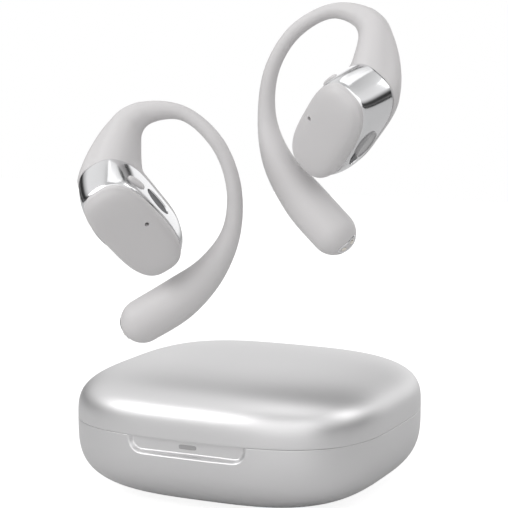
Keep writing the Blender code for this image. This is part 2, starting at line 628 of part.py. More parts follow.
def make_housing():
    """Plated band between the covers, with its side openings."""
    front, back = -COVER_DEPTH - SPLIT_GAP, HOUSING_BACK
    levels = [(front, 0.0), (front + (back - front) * 0.3, -0.2), (front + (back - front) * 0.7, -0.2), (back, 0.0)]
    rings = [capsule_ring(z, inset) for z, inset in levels]
    rings += [capsule_ring(z, inset + CAPSULE_WALL) for z, inset in reversed(levels)]
    band = loft("plated_band", rings, PLATED, closed=True)
    for name, opening, side in (("loop_opening", LOOP_GRILLE, 1), ("pad_opening", CONTROL_PAD, 1),
                                ("outlet_opening", OUTLET_GRILLE, -1)):
        cut = prism(name, opening[2], opening[3], side_frame(opening, side), 4.0)
        boolean(band, cut)
    return band


def make_side_trim(name, opening, side, material, proud):
    """A thin plate in one of the side openings, curved outline, 0.3 mm clear all round."""
    frame = side_frame(opening, side) @ Matrix.Translation((0, 0, proud - TRIM_THICKNESS / 2))
    return prism(name, opening[2] - GAP, opening[3] - GAP, frame, TRIM_THICKNESS, material)


def make_ear_cover():
    """Domed cover on the ear side."""
    front, back = HOUSING_BACK - SPLIT_GAP, EAR_COVER_BACK
    depth = back - front
    outer = [(front, 0.0), (front + depth * 0.45, 0.3), (front + depth * 0.75, 1.3), (front + depth * 0.93, 3.0),
             (back, 5.0)]
    inner = [(z + COVER_WALL, inset + 0.5 * COVER_WALL) for z, inset in outer[2:]]
    inner.insert(0, (front, COVER_WALL))
    profile = list(reversed(outer)) + inner
    return loft("ear_cover", [capsule_ring(z, inset) for z, inset in profile], SOFT)


def spine_at(station):
    """Give the hook's centre and radius at a station, on a smooth curve through its spine points."""
    last = len(HOOK_SPINE) - 1
    k = min(int(station), last - 1)
    t = station - k
    p0, p1, p2, p3 = (Vector(HOOK_SPINE[i]) for i in (max(k - 1, 0), k, k + 1, min(k + 2, last)))
    value = 0.5 * ((2 * p1) + (p2 - p0) * t + (2 * p0 - 5 * p1 + 4 * p2 - p3) * t**2
                   + (3 * p1 - p0 - 3 * p2 + p3) * t**3)
    return Vector(value[:3]), value[3]


def spine_frame(station):
    """Give the hook's centre, tangent and two cross directions at a station."""
    centre, radius = spine_at(station)
    last = len(HOOK_SPINE) - 1
    ahead, _ = spine_at(min(station + 0.01, last))
    behind, _ = spine_at(max(station - 0.01, 0))
    tangent = (ahead - behind).normalized()
    across = tangent.cross(Vector((0, 0, 1))).normalized()
    return centre, tangent, across, across.cross(tangent).normalized(), radius


def spine_ring(station, radius=None, shift=0.0):
    """Give a round ring about the hook's spine, moved along the tangent by shift."""
    centre, tangent, across, upward, full = spine_frame(station)
    radius = full if radius is None else radius
    centre = centre + tangent * shift
    ring = []
    for k in range(HOOK_SEGMENTS):
        angle = 2 * math.pi * k / HOOK_SEGMENTS
        ring.append(centre + (across * math.cos(angle) + upward * math.sin(angle)) * radius)
    return ring


def station_offset(station, distance):
    """Give the station that lies a distance along the hook from another."""
    step = 0.01 if distance > 0 else -0.01
    travelled = 0.0
    here, _ = spine_at(station)
    while travelled < abs(distance):
        station += step
        there, _ = spine_at(station)
        travelled += (there - here).length
        here = there
    return station


def dome_rings(station, radius, direction, reach):
    """Give the rings of a dome that closes a tube, from the full ring to its small end ring."""
    rings = []
    for angle in (25, 48, 68, 82):
        share = math.radians(angle)
        rings.append(spine_ring(station, radius * math.cos(share), direction * reach * math.sin(share)))
    return rings


def make_arm_sleeve():
    """Front arm: swells out of the capsule and ends in a round socket at the flex point."""
    _, sleeve_radius = spine_at(FLEX_STATION)
    socket_radius = sleeve_radius + FLEX_GAP
    stations = [0.0, 0.25, 0.5, 0.75, 1.0, 1.3, 1.6, 2.0, 2.4, 2.8]
    root_radius = HOOK_SPINE[0][3]
    outer = list(reversed(dome_rings(0.0, root_radius, -1, root_radius * 0.8)))
    outer += [spine_ring(station) for station in stations]
    rim = math.sqrt(socket_radius**2 - sleeve_radius**2)
    socket = [spine_ring(FLEX_STATION, sleeve_radius, -rim)]
    for share in (0.75, BORE_RADIUS / sleeve_radius):
        radius = sleeve_radius * share
        socket.append(spine_ring(FLEX_STATION, radius, -math.sqrt(socket_radius**2 - radius**2)))
    bore = [spine_ring(station, BORE_RADIUS) for station in reversed(stations[4:])]
    sleeve = loft("arm_sleeve", outer + socket + bore, SOFT)

    levels = [(2.0, 4.0), (-1.0, -GAP), (HOUSING_BACK, -GAP), (HOUSING_BACK - 3.0, -GAP),
              (EAR_COVER_BACK + 1.0, 0.9), (EAR_COVER_BACK - GAP, 4.0)]
    envelope = loft("capsule_envelope", [capsule_ring(z, inset) for z, inset in levels], None)
    return boolean(sleeve, envelope)


def make_hook_sleeve():
    """Rear hook: a ball end at the flex point, the thin hook and the battery barrel with its round end."""
    _, ball = spine_at(FLEX_STATION)
    last = len(HOOK_SPINE) - 1
    stations = [3.8, 4.3, 4.8, 5.3, 5.7, 6.1, 6.5, 7.0, 7.5, float(last)]
    end_radius = HOOK_SPINE[-1][3]
    chamber = end_radius - BARREL_WALL
    inner = list(reversed(dome_rings(last, chamber, 1, chamber)))
    inner += [spine_ring(last, chamber), spine_ring(BARREL_STATION + 0.3, spine_at(BARREL_STATION + 0.3)[1]
                                                    - BARREL_WALL)]
    inner += [spine_ring(BARREL_STATION, BORE_RADIUS * 1.5)]
    inner += [spine_ring(station, BORE_RADIUS) for station in (6.3, 5.7, 5.3, 4.8, 4.3, 3.8)]
    tip = [spine_ring(FLEX_STATION, ball * share, -ball * math.sqrt(1 - share**2))
           for share in (BORE_RADIUS / ball, 0.75, 0.93)]
    outer = [spine_ring(FLEX_STATION, ball)] + [spine_ring(station) for station in stations]
    outer += dome_rings(last, end_radius, 1, end_radius)
    sleeve = loft("hook_sleeve", inner + tip + outer, SOFT)
    cut = prism("contact_window", CONTACT_HALF_LENGTH, CONTACT_HALF_WIDTH, contact_frame(0.0), 3.4, power=2.6)
    return boolean(sleeve, cut)


def contact_frame(rise):
    """Give the frame of the charging contact on the barrel's end, z outwards, raised from its surface."""
    normal = Vector(CONTACT_NORMAL).normalized()
    long_axis = Vector(CONTACT_LONG_AXIS)
    long_axis = (long_axis - normal * long_axis.dot(normal)).normalized()
    short_axis = normal.cross(long_axis)
    turn = Matrix((long_axis, short_axis, normal)).transposed().to_4x4()
    end, _ = spine_at(len(HOOK_SPINE) - 1)
    return Matrix.Translation(end + normal * (HOOK_SPINE[-1][3] + rise)) @ turn


def make_contacts():
    """Contact plate in the barrel's window, with two pads on it."""
    plate = prism("contact_plate", CONTACT_HALF_LENGTH - GAP, CONTACT_HALF_WIDTH - GAP,
                  contact_frame(-0.35 - CONTACT_DEPTH / 2), CONTACT_DEPTH, PLATED, 2.6)
    pads = []
    for k, letter in ((-1, "a"), (1, "b")):
        frame = contact_frame(-0.35) @ Matrix.Translation((k * CONTACT_PAD_OFFSET, 0, 0))
        recess = prism(f"contact_recess_{letter}", CONTACT_PAD_RADIUS + 0.15, CONTACT_PAD_RADIUS + 0.15, frame, 0.8,
                       segments=12)
        boolean(plate, recess)
        pads.append(prism(f"contact_pad_{letter}", CONTACT_PAD_RADIUS, CONTACT_PAD_RADIUS, frame, 0.4, GOLD,
                          segments=12))
    return [plate] + pads


def wire(name, first, last, steps):
    """A length of memory wire along the hook's spine."""
    curve = bpy.data.curves.new(name, "CURVE")
    curve.dimensions = "3D"
    curve.bevel_depth = WIRE_RADIUS * MM
    curve.bevel_resolution = 2
    curve.use_fill_caps = True
    spline = curve.splines.new("POLY")
    spline.points.add(steps)
    for k in range(steps + 1):
        centre, _ = spine_at(first + (last - first) * k / steps)
        spline.points[k].co = (*(centre * MM), 1.0)
    item = bpy.data.objects.new(name, curve)
    curve.materials.append(STEEL)
    PARTS.objects.link(item)
    return item


def make_bud_insides():
    """Driver, main board, microphone, battery cell and the two lengths of memory wire."""
    half_x = CAPSULE_HALF_LENGTH - CAPSULE_WALL - GAP
    half_y = CAPSULE_HALF_WIDTH - CAPSULE_WALL - GAP
    board_z = -COVER_DEPTH - SPLIT_GAP - 0.4
    board = prism("main_board", half_x, half_y, Matrix.Translation((0, 0, board_z)), 0.8, BOARD, CAPSULE_POWER)
    frame_z = HOUSING_BACK + 1.0
    levels = [(frame_z - 0.8, 0.0, 0.0), (frame_z + 0.2, 0.0, 0.0), (frame_z + 0.2, 1.0, 0.6),
              (frame_z + 2.2, 1.6, 1.0), (frame_z + 2.2, 4.2, 2.0), (frame_z + 3.6, 4.4, 2.2)]
    rings = [superellipse(half_x - 3.0 - dx, half_y - dy, 2.4, z, 20) for z, dx, dy in levels]
    driver = loft("speaker_driver", rings, STEEL)
    microphone = cylinder("face_mic", (*MIC_HOLE, -2.6), (*MIC_HOLE, -1.9), 0.9, MESH, 12)
    start, end = (Vector(point[:3]) for point in HOOK_SPINE[-2:])
    along = (end - start).normalized()
    cell = cylinder("bud_battery", start + along * GAP, start + along * (GAP + CELL_LENGTH),
                    HOOK_SPINE[-2][3] - BARREL_WALL - GAP - 0.1, CELL, 16)
    front_wire = wire("arm_wire", 1.15, station_offset(FLEX_STATION, -2.3), 12)
    rear_wire = wire("hook_wire", station_offset(FLEX_STATION, 0.6), 6.0, 16)
    return [board, driver, microphone, cell, front_wire, rear_wire]


def make_bud_patterns():
    """Model every piece of one bud once and give the finished meshes."""
    pieces = [make_touch_cover(), make_housing(), make_ear_cover(), make_arm_sleeve(), make_hook_sleeve()]
    pieces += [make_side_trim("loop_grille", LOOP_GRILLE, 1, MESH, -0.3),
               make_side_trim("control_pad", CONTROL_PAD, 1, PLATED, 0.25),
               make_side_trim("outlet_grille", OUTLET_GRILLE, -1, MESH, -0.3)]
    pieces += make_contacts()
    pieces += make_bud_insides()
    bpy.context.view_layer.update()
    return [bake(piece) for piece in pieces]


def place_buds():
    """Place the finished meshes twice: the left bud as designed and the right one mirrored."""
    meshes = make_bud_patterns()
    for side, (place, turn, mirror) in BUD_POSES.items():
        holder = bpy.data.objects.new(f"{side}_bud_frame", None)
        PARTS.objects.link(holder)
        holder.location = Vector(place) * MM
        holder.rotation_euler = Euler([math.radians(angle) for angle in turn])
        holder.scale = (1.0, mirror, 1.0)
        for name, mesh in meshes:
            item = bpy.data.objects.new(f"{side}_{name}", mesh)
            PARTS.objects.link(item)
            item.parent = holder


def main():
    """Build the case and the two buds."""
    make_base_shell()
    make_lid_shell()
    make_lid_liner()
    make_tray()
    make_hinge()
    make_case_contents()
    place_buds()


main()
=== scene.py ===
"""Looks of a pair of open-ear hook earphones held above their closed charging case.

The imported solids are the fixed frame. Every visible surface is made again here at a fine resolution in the same
frame, in metres: the pebble-shaped case with its finger notch, the tray and the lid's lining, and for each bud
the soft touch cover, the plated band, the ear skin, the hook with its battery barrel and the charging contact.
Sizes are written in millimetres and scaled to metres when a mesh is made.
"""
from __future__ import annotations

import json
import logging
import math
from collections.abc import Sequence
from dataclasses import dataclass, field
from enum import Enum

import bmesh
import bpy
from mathutils import Euler, Matrix, Vector

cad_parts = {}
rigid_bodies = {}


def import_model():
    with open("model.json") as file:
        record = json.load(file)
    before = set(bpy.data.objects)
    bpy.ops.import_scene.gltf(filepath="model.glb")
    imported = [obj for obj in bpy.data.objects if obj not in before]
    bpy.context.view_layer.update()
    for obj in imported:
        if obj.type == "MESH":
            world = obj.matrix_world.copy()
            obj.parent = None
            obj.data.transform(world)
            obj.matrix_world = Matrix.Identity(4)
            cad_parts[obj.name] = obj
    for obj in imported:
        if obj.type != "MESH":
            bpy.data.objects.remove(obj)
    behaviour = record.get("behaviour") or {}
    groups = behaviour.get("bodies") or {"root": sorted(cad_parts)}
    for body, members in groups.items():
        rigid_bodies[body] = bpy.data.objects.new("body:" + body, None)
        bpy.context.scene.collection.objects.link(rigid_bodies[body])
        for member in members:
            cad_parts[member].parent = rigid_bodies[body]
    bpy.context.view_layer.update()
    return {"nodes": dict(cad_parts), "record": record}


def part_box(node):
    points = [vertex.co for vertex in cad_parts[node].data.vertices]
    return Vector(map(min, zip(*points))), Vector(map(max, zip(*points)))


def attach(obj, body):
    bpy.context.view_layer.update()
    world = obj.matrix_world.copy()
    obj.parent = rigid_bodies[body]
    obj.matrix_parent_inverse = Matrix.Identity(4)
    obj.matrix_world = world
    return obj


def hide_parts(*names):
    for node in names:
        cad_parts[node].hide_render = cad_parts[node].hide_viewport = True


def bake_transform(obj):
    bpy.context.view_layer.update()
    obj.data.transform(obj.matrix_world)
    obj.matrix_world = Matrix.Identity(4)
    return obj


LOG = logging.getLogger("hook_earphones")
MM = 0.001
WAVE_LENGTH = 0.314  # of the wave texture at a scale of 1, in metres
Ring = list[Vector]
Colour = tuple[float, float, float]


class Slot(Enum):
    """Material slots of the record that the new pieces take their finish from."""

    SATIN = "satin_silver"
    TRAY = "tray_grey"
    SOFT = "soft_grey"
    CHROME = "mirror_chrome"
    MESH = "dark_mesh"
    LENS = "light_pipe"
    BUTTON = "button_silver"
    GOLD = "gold_contact"
    PORT = "port_steel"
    HINGE = "hinge_steel"
    MAGNET = "magnet_nickel"
    BLOCK = "block_black"
    SWITCH = "switch_black"
    BOARD = "circuit_green"
    CELL = "cell_foil"
    WIRE = "spring_wire"
    DRIVER = "driver_steel"


# ---------------------------------------------------------------- shared effects

def put(tree: bpy.types.NodeTree, kind: str, sockets: dict[str | int, object] | None = None,
        **settings: object) -> bpy.types.Node:
    """Make a shader node.

    Args:
        tree: The tree it goes in.
        kind: Its type, without the ShaderNode that begins every type's name.
        sockets: A plain value or a link for each named or numbered input.
        settings: Values of its own settings, which are set first.

    Returns:
        The node.
    """
    node = tree.nodes.new(f"ShaderNode{kind}")
    for name, value in settings.items():
        setattr(node, name, value)
    for name, value in (sockets or {}).items():
        if isinstance(value, bpy.types.NodeSocket):
            tree.links.new(value, node.inputs[name])
        else:
            node.inputs[name].default_value = value
    return node


def grey(value: float) -> tuple[float, float, float, float]:
    """Give an opaque grey."""
    return value, value, value, 1.0


class Sockets(Enum):
    """Socket kinds used in the shader groups."""

    COLOUR = "NodeSocketColor"
    NUMBER = "NodeSocketFloat"
    VECTOR = "NodeSocketVector"


@dataclass
class EffectLibrary:
    """Shader node groups that more than one finish uses, each built once."""

    groups: dict[str, bpy.types.NodeTree] = field(default_factory=dict)

    def begin(self, name: str, inputs: dict[str, Sockets], outputs: dict[str, Sockets]
              ) -> tuple[bpy.types.NodeTree, bpy.types.Node, bpy.types.Node]:
        """Start a shader group with its interface.

        Args:
            name: The group's name.
            inputs: Input names and kinds.
            outputs: Output names and kinds.

        Returns:
            The tree, its input node and its output node.
        """
        tree = bpy.data.node_groups.new(name, "ShaderNodeTree")
        for label, kind in inputs.items():
            tree.interface.new_socket(name=label, in_out="INPUT", socket_type=kind.value)
        for label, kind in outputs.items():
            tree.interface.new_socket(name=label, in_out="OUTPUT", socket_type=kind.value)
        self.groups[name] = tree
        return tree, tree.nodes.new("NodeGroupInput"), tree.nodes.new("NodeGroupOutput")

    def grain(self) -> bpy.types.NodeTree:
        """Give the fine grain of a moulded or painted surface: a broken-up colour and a height."""
        if "grain" in self.groups:
            return self.groups["grain"]
        tree, enter, leave = self.begin(
            "grain", {"Vector": Sockets.VECTOR, "Scale": Sockets.NUMBER, "Tone": Sockets.COLOUR,
                      "Spread": Sockets.NUMBER},
            {"Colour": Sockets.COLOUR, "Height": Sockets.NUMBER})
        given = enter.outputs
        fine = put(tree, "TexNoise", {"Detail": 3.0, "Roughness": 0.6, "Vector": given["Vector"],
                                      "Scale": given["Scale"]})
        centred = put(tree, "Math", {0: fine.outputs["Fac"], 1: 0.5}, operation="SUBTRACT")
        span = put(tree, "Math", {0: centred.outputs["Value"], 1: given["Spread"], 2: 1.0},
                   operation="MULTIPLY_ADD")
        tint = put(tree, "VectorMath", {0: given["Tone"], "Scale": span.outputs["Value"]}, operation="SCALE")
        tree.links.new(tint.outputs["Vector"], leave.inputs["Colour"])
        tree.links.new(fine.outputs["Fac"], leave.inputs["Height"])
        return tree

    def handling(self) -> bpy.types.NodeTree:
        """Give the broad, faint marks that fingers leave, as a roughness that drifts about a middle."""
        if "handling" in self.groups:
            return self.groups["handling"]
        tree, enter, leave = self.begin(
            "handling", {"Vector": Sockets.VECTOR, "Scale": Sockets.NUMBER, "Middle": Sockets.NUMBER,
                         "Spread": Sockets.NUMBER}, {"Roughness": Sockets.NUMBER})
        given = enter.outputs
        broad = put(tree, "TexNoise", {"Detail": 2.0, "Distortion": 0.8, "Vector": given["Vector"],
                                       "Scale": given["Scale"]})
        centred = put(tree, "Math", {0: broad.outputs["Fac"], 1: 0.5}, operation="SUBTRACT")
        drift = put(tree, "Math", {0: centred.outputs["Value"], 1: given["Spread"], 2: given["Middle"]},
                    operation="MULTIPLY_ADD")
        tree.links.new(drift.outputs["Value"], leave.inputs["Roughness"])
        return tree

    def weave(self) -> bpy.types.NodeTree:
        """Give a woven mesh: its threads' mask and their height, from two crossing waves."""
        if "weave" in self.groups:
            return self.groups["weave"]
        tree, enter, leave = self.begin(
            "weave", {"Vector": Sockets.VECTOR, "Scale": Sockets.NUMBER},
            {"Mask": Sockets.NUMBER, "Height": Sockets.NUMBER})
        given = enter.outputs
        waves = [put(tree, "TexWave", {"Detail": 0.0, "Vector": given["Vector"], "Scale": given["Scale"]},
                     wave_type="BANDS", bands_direction=direction) for direction in ("X", "Y")]
        crest = put(tree, "Math", {k: wave.outputs["Fac"] for k, wave in enumerate(waves)}, operation="MAXIMUM")
        edge = put(tree, "MapRange", {"From Min": 0.35, "From Max": 0.75, "Value": crest.outputs["Value"]})
        tree.links.new(edge.outputs["Result"], leave.inputs["Mask"])
        tree.links.new(crest.outputs["Value"], leave.inputs["Height"])
        return tree


EFFECTS = EffectLibrary()


@dataclass(frozen=True)
class Finish:
    """A surface finish, and how its material is made.

    Attributes:
        slot: The record's slot that the finish belongs to.
        colour: Linear base colour.
        roughness: Middle of the roughness.
        metallic: 1 for metal and plating.
        drift: How far handling marks move the roughness.
        grain: Grain cells per metre.
        spread: How much the grain breaks up the colour.
        relief: Height of the grain in millimetres.
        sheen: Weight of the soft sheen of a silky coating.
        coat: Weight of a clear coat.
        specular: Specular level.
    """

    slot: Slot
    colour: Colour
    roughness: float
    metallic: float = 0.0
    drift: float = 0.06
    grain: float = 3000.0
    spread: float = 0.05
    relief: float = 0.004
    sheen: float = 0.0
    coat: float = 0.0
    specular: float = 0.5

    def shell(self) -> tuple[bpy.types.Material, bpy.types.Node, bpy.types.Node]:
        """Make an empty material with its shader and its object coordinates.

        Returns:
            The material, the Principled node and the coordinate node.
        """
        material = bpy.data.materials.new(self.slot.value)
        material.use_nodes = True
        shader = material.node_tree.nodes["Principled BSDF"]
        plain = {"Metallic": self.metallic, "Base Color": (*self.colour, 1.0), "Roughness": self.roughness,
                 "Sheen Weight": self.sheen, "Sheen Roughness": 0.4, "Coat Weight": self.coat,
                 "Coat Roughness": 0.12, "Specular IOR Level": self.specular}
        for name, value in plain.items():
            shader.inputs[name].default_value = value
        material.diffuse_color = (*self.colour, 1.0)
        return material, shader, material.node_tree.nodes.new("ShaderNodeTexCoord")

    def material(self) -> bpy.types.Material:
        """Make the material: grained colour, drifting roughness and a fine relief."""
        material, shader, place = self.shell()
        tree = material.node_tree
        where = place.outputs["Object"]
        grain = put(tree, "Group", {"Scale": self.grain, "Tone": (*self.colour, 1.0), "Spread": self.spread,
                                    "Vector": where}, node_tree=EFFECTS.grain())
        touch = put(tree, "Group", {"Scale": 60.0, "Middle": self.roughness, "Spread": self.drift,
                                    "Vector": where}, node_tree=EFFECTS.handling())
        bump = put(tree, "Bump", {"Strength": 0.6, "Distance": self.relief * MM, "Height": grain.outputs["Height"]})
        tree.links.new(grain.outputs["Colour"], shader.inputs["Base Color"])
        tree.links.new(touch.outputs["Roughness"], shader.inputs["Roughness"])
        tree.links.new(bump.outputs["Normal"], shader.inputs["Normal"])
        return material


@dataclass(frozen=True)
class WovenFinish(Finish):
    """A fine woven mesh of dark wire, with painted shade in the holes between its threads."""

    pitch: float = 0.28
    # The holes' colour is painted shade for the dark space behind the mesh.
    hole: Colour = (0.012, 0.012, 0.013)

    def material(self) -> bpy.types.Material:
        """Make the material: wire from the weave and painted shade in its holes, with its relief."""
        material, shader, place = self.shell()
        tree = material.node_tree
        weave = put(tree, "Group", {"Scale": WAVE_LENGTH / (self.pitch * MM), "Vector": place.outputs["UV"]},
                    node_tree=EFFECTS.weave())
        # Painted shade in the holes, the wire's own colour on the threads.
        mix = put(tree, "Mix", {"A": (*self.hole, 1.0), "B": (*self.colour, 1.0),
                                "Factor": weave.outputs["Mask"]}, data_type="RGBA")
        bump = put(tree, "Bump", {"Strength": 0.7, "Distance": 0.05 * MM, "Height": weave.outputs["Height"]})
        tree.links.new(mix.outputs["Result"], shader.inputs["Base Color"])
        tree.links.new(bump.outputs["Normal"], shader.inputs["Normal"])
        return material


@dataclass(frozen=True)
class BoardFinish(Finish):
    """Solder resist with copper tracks showing through."""

    track: Colour = (0.10, 0.30, 0.16)

    def material(self) -> bpy.types.Material:
        """Make the material: two tones of green in a pattern of tracks."""
        material, shader, place = self.shell()
        tree = material.node_tree
        resist = (*self.colour, 1.0)
        brick = put(tree, "TexBrick", {"Color1": resist, "Color2": resist, "Mortar": (*self.track, 1.0),
                                       "Scale": 260.0, "Mortar Size": 0.03, "Vector": place.outputs["Object"]})
        tree.links.new(brick.outputs["Color"], shader.inputs["Base Color"])
        return material


FINISHES: dict[Slot, Finish] = {
    Slot.SATIN: Finish(Slot.SATIN, (0.70, 0.695, 0.70), 0.44, 0.92, drift=0.03, grain=5200, spread=0.05,
                       relief=0.002),
    Slot.TRAY: Finish(Slot.TRAY, (0.40, 0.395, 0.40), 0.56, grain=4200, spread=0.10, relief=0.012),
    Slot.SOFT: Finish(Slot.SOFT, (0.57, 0.557, 0.56), 0.50, drift=0.05, grain=5200, spread=0.03, relief=0.003,
                      sheen=0.15),
    Slot.CHROME: Finish(Slot.CHROME, (0.73, 0.73, 0.74), 0.16, 1.0, drift=0.03, grain=900, spread=0.015,
                        relief=0.0006),
    Slot.MESH: WovenFinish(Slot.MESH, (0.16, 0.16, 0.17), 0.45, 0.7),
    Slot.LENS: Finish(Slot.LENS, (0.33, 0.325, 0.33), 0.30, grain=2500, coat=0.4),
    Slot.BUTTON: Finish(Slot.BUTTON, (0.55, 0.545, 0.55), 0.40, 0.5),
    Slot.GOLD: Finish(Slot.GOLD, (0.80, 0.76, 0.69), 0.20, 1.0, relief=0.001),
    Slot.PORT: Finish(Slot.PORT, (0.60, 0.60, 0.61), 0.28, 1.0, relief=0.001),
    Slot.HINGE: Finish(Slot.HINGE, (0.56, 0.56, 0.57), 0.34, 1.0, relief=0.002),
    Slot.MAGNET: Finish(Slot.MAGNET, (0.66, 0.65, 0.62), 0.22, 1.0, relief=0.001),
    Slot.BLOCK: Finish(Slot.BLOCK, (0.045, 0.045, 0.047), 0.45, grain=3600, relief=0.008),
    Slot.SWITCH: Finish(Slot.SWITCH, (0.05, 0.05, 0.052), 0.40, relief=0.004),
    Slot.BOARD: BoardFinish(Slot.BOARD, (0.025, 0.13, 0.065), 0.35),
    Slot.CELL: Finish(Slot.CELL, (0.62, 0.62, 0.63), 0.38, 0.9, grain=1400, spread=0.12, relief=0.02),
    Slot.WIRE: Finish(Slot.WIRE, (0.60, 0.60, 0.60), 0.30, 1.0, relief=0.001),
    Slot.DRIVER: Finish(Slot.DRIVER, (0.50, 0.50, 0.51), 0.36, 1.0, relief=0.002),
}


@dataclass
class FinishShop:
    """Makes each finish's material once."""

    made: dict[Slot, bpy.types.Material] = field(default_factory=dict)

    def get(self, slot: Slot) -> bpy.types.Material:
        """Give the material of a slot.

        Args:
            slot: The record's slot.

        Returns:
            The material, made on its first use.
        """
        if slot not in self.made:
            self.made[slot] = FINISHES[slot].material()
        return self.made[slot]


SHOP = FinishShop()


# ---------------------------------------------------------------- mesh making

def rim_point(angle: float, power: float) -> tuple[float, float]:
    """Give the point of a superellipse of half size 1 at an angle."""
    c, s = math.cos(angle), math.sin(angle)
    return math.copysign(abs(c) ** (2 / power), c), math.copysign(abs(s) ** (2 / power), s)


def turns(count: int) -> list[float]:
    """Give angles spread evenly over a full turn."""
    return [math.tau * k / count for k in range(count)]


def superellipse(half_x: float, half_y: float, power: float, z: float, segments: int,
                 centre: tuple[float, float] = (0.0, 0.0)) -> Ring:
    """Give one level ring of a superellipse.

    Args:
        half_x: Half size along x.
        half_y: Half size along y.
        power: 2 for an ellipse, more for a squarer outline.
        z: The ring's height.
        segments: Points in the ring.
        centre: The ring's centre.

    Returns:
        The ring's points.
    """
    return [Vector((centre[0] + half_x * x, centre[1] + half_y * y, z))
            for x, y in (rim_point(angle, power) for angle in turns(segments))]


def curve_point(points: Sequence[Sequence[float]], k: int, t: float) -> Vector:
    """Give a place on the smooth curve through some points.

    Args:
        points: The points.
        k: The point that the span begins at.
        t: Share of the span from that point to the next.

    Returns:
        The place, with as many numbers as the points have.
    """
    last = len(points) - 1
    p0, p1, p2, p3 = (Vector(points[i]) for i in (max(k - 1, 0), k, k + 1, min(k + 2, last)))
    return 0.5 * (2 * p1 + (p2 - p0) * t + (2 * p0 - 5 * p1 + 4 * p2 - p3) * t**2
                  + (3 * p1 - p0 - 3 * p2 + p3) * t**3)


def smooth_profile(points: list[tuple[float, float]], steps: int) -> list[tuple[float, float]]:
    """Give a smooth profile through its points.

    Args:
        points: The profile's own points.
        steps: Spans put in for each span of the profile.

    Returns:
        The finer profile.
    """
    fine = [tuple(curve_point(points, k, n / steps)) for k in range(len(points) - 1) for n in range(steps)]
    return fine + [points[-1]]


def ease(low: float, high: float, value: float) -> float:
    """Give a smooth step from 0 at low to 1 at high."""
    t = min(max((value - low) / (high - low), 0.0), 1.0)
    return t * t * (3 - 2 * t)


def skin_rings(rings: list[Ring], closed: bool = False) -> bmesh.types.BMesh:
    """Skin a list of rings.

    Args:
        rings: Rings with the same number of points.
        closed: Join the last ring to the first in place of capping both.

    Returns:
        A closed mesh in the rings' own units.
    """
    bm = bmesh.new()
    rows = [[bm.verts.new(point) for point in ring] for ring in rings]
    pairs = list(zip(rows, rows[1:]))
    if closed:
        pairs.append((rows[-1], rows[0]))
    else:
        bm.faces.new(rows[0])
        bm.faces.new(rows[-1])
    for first, second in pairs:
        for i, start in enumerate(first):
            j = (i + 1) % len(first)
            bm.faces.new((start, first[j], second[j], second[i]))
    bmesh.ops.recalc_face_normals(bm, faces=bm.faces)
    return bm


def as_object(name: str, bm: bmesh.types.BMesh, slot: Slot | None, place: Matrix | None = None,
              sharp: float = 38.0) -> bpy.types.Object:
    """Turn a mesh in millimetres into an object in metres.

    Args:
        name: The piece's name.
        bm: The mesh, which is used up.
        slot: Its finish, or None for a tool.
        place: Where it goes, in millimetres.
        sharp: Angle in degrees past which an edge is shaded sharp.

    Returns:
        The object.
    """
    matrix = place or Matrix.Identity(4)
    bm.transform(Matrix.Scale(MM, 4) @ matrix)
    if matrix.determinant() < 0:
        bmesh.ops.reverse_faces(bm, faces=bm.faces)
    mesh = bpy.data.meshes.new(name)
    bm.to_mesh(mesh)
    bm.free()
    item = bpy.data.objects.new(name, mesh)
    bpy.context.scene.collection.objects.link(item)
    shade(item, sharp)
    if slot:
        mesh.materials.append(SHOP.get(slot))
    return item


def shade(item: bpy.types.Object, sharp: float = 38.0) -> None:
    """Shade an object smooth but for its sharp edges."""
    item.data.shade_smooth()
    item.data.set_sharp_from_angle(angle=math.radians(sharp))


def apply_modifiers(item: bpy.types.Object) -> bpy.types.Object:
    """Replace an object's mesh with what its modifiers make of it."""
    graph = bpy.context.evaluated_depsgraph_get()
    mesh = bpy.data.meshes.new_from_object(item.evaluated_get(graph))
    item.modifiers.clear()
    item.data = mesh
    return item


def combine(item: bpy.types.Object, tools: list[bpy.types.Object], operation: str = "DIFFERENCE",
            sharp: float = 38.0) -> bpy.types.Object:
    """Cut tools from an object, or join them to it, and remove them.

    Args:
        item: The object that is kept.
        tools: Closed meshes.
        operation: DIFFERENCE or UNION.
        sharp: Angle in degrees past which an edge is shaded sharp.

    Returns:
        The object.
    """
    for tool in tools:
        modifier = item.modifiers.new(tool.name, "BOOLEAN")
        modifier.operation = operation
        modifier.object = tool
    apply_modifiers(item)
    for tool in tools:
        bpy.data.objects.remove(tool, do_unlink=True)
    shade(item, sharp)
    return item


def rounded_box(name: str, low: tuple[float, float, float], high: tuple[float, float, float],
                bevel: float = 0.0, segments: int = 3) -> bpy.types.Object:
    """Make a box from its low and high corners, with rounded edges where a bevel is given."""
    bm = bmesh.new()
    bmesh.ops.create_cube(bm, size=1.0)
    bmesh.ops.scale(bm, vec=[b - a for a, b in zip(low, high)], verts=bm.verts)
    bmesh.ops.translate(bm, vec=[(a + b) / 2 for a, b in zip(low, high)], verts=bm.verts)
    if bevel:
        bmesh.ops.bevel(bm, geom=bm.edges[:], offset=bevel, segments=segments, affect="EDGES", profile=0.5)
    return as_object(name, bm, None)


def pad_rings(half_x: float, half_y: float, power: float, profile: list[tuple[float, float]],
              segments: int = 64) -> list[Ring]:
    """Give the rings of a pad whose profile is (inset, height) from its foot to its middle."""
    return [superellipse(max(half_x - inset, 0.02), max(half_y - inset, 0.02), power, z, segments)
            for inset, z in profile]


# ---------------------------------------------------------------- charging case

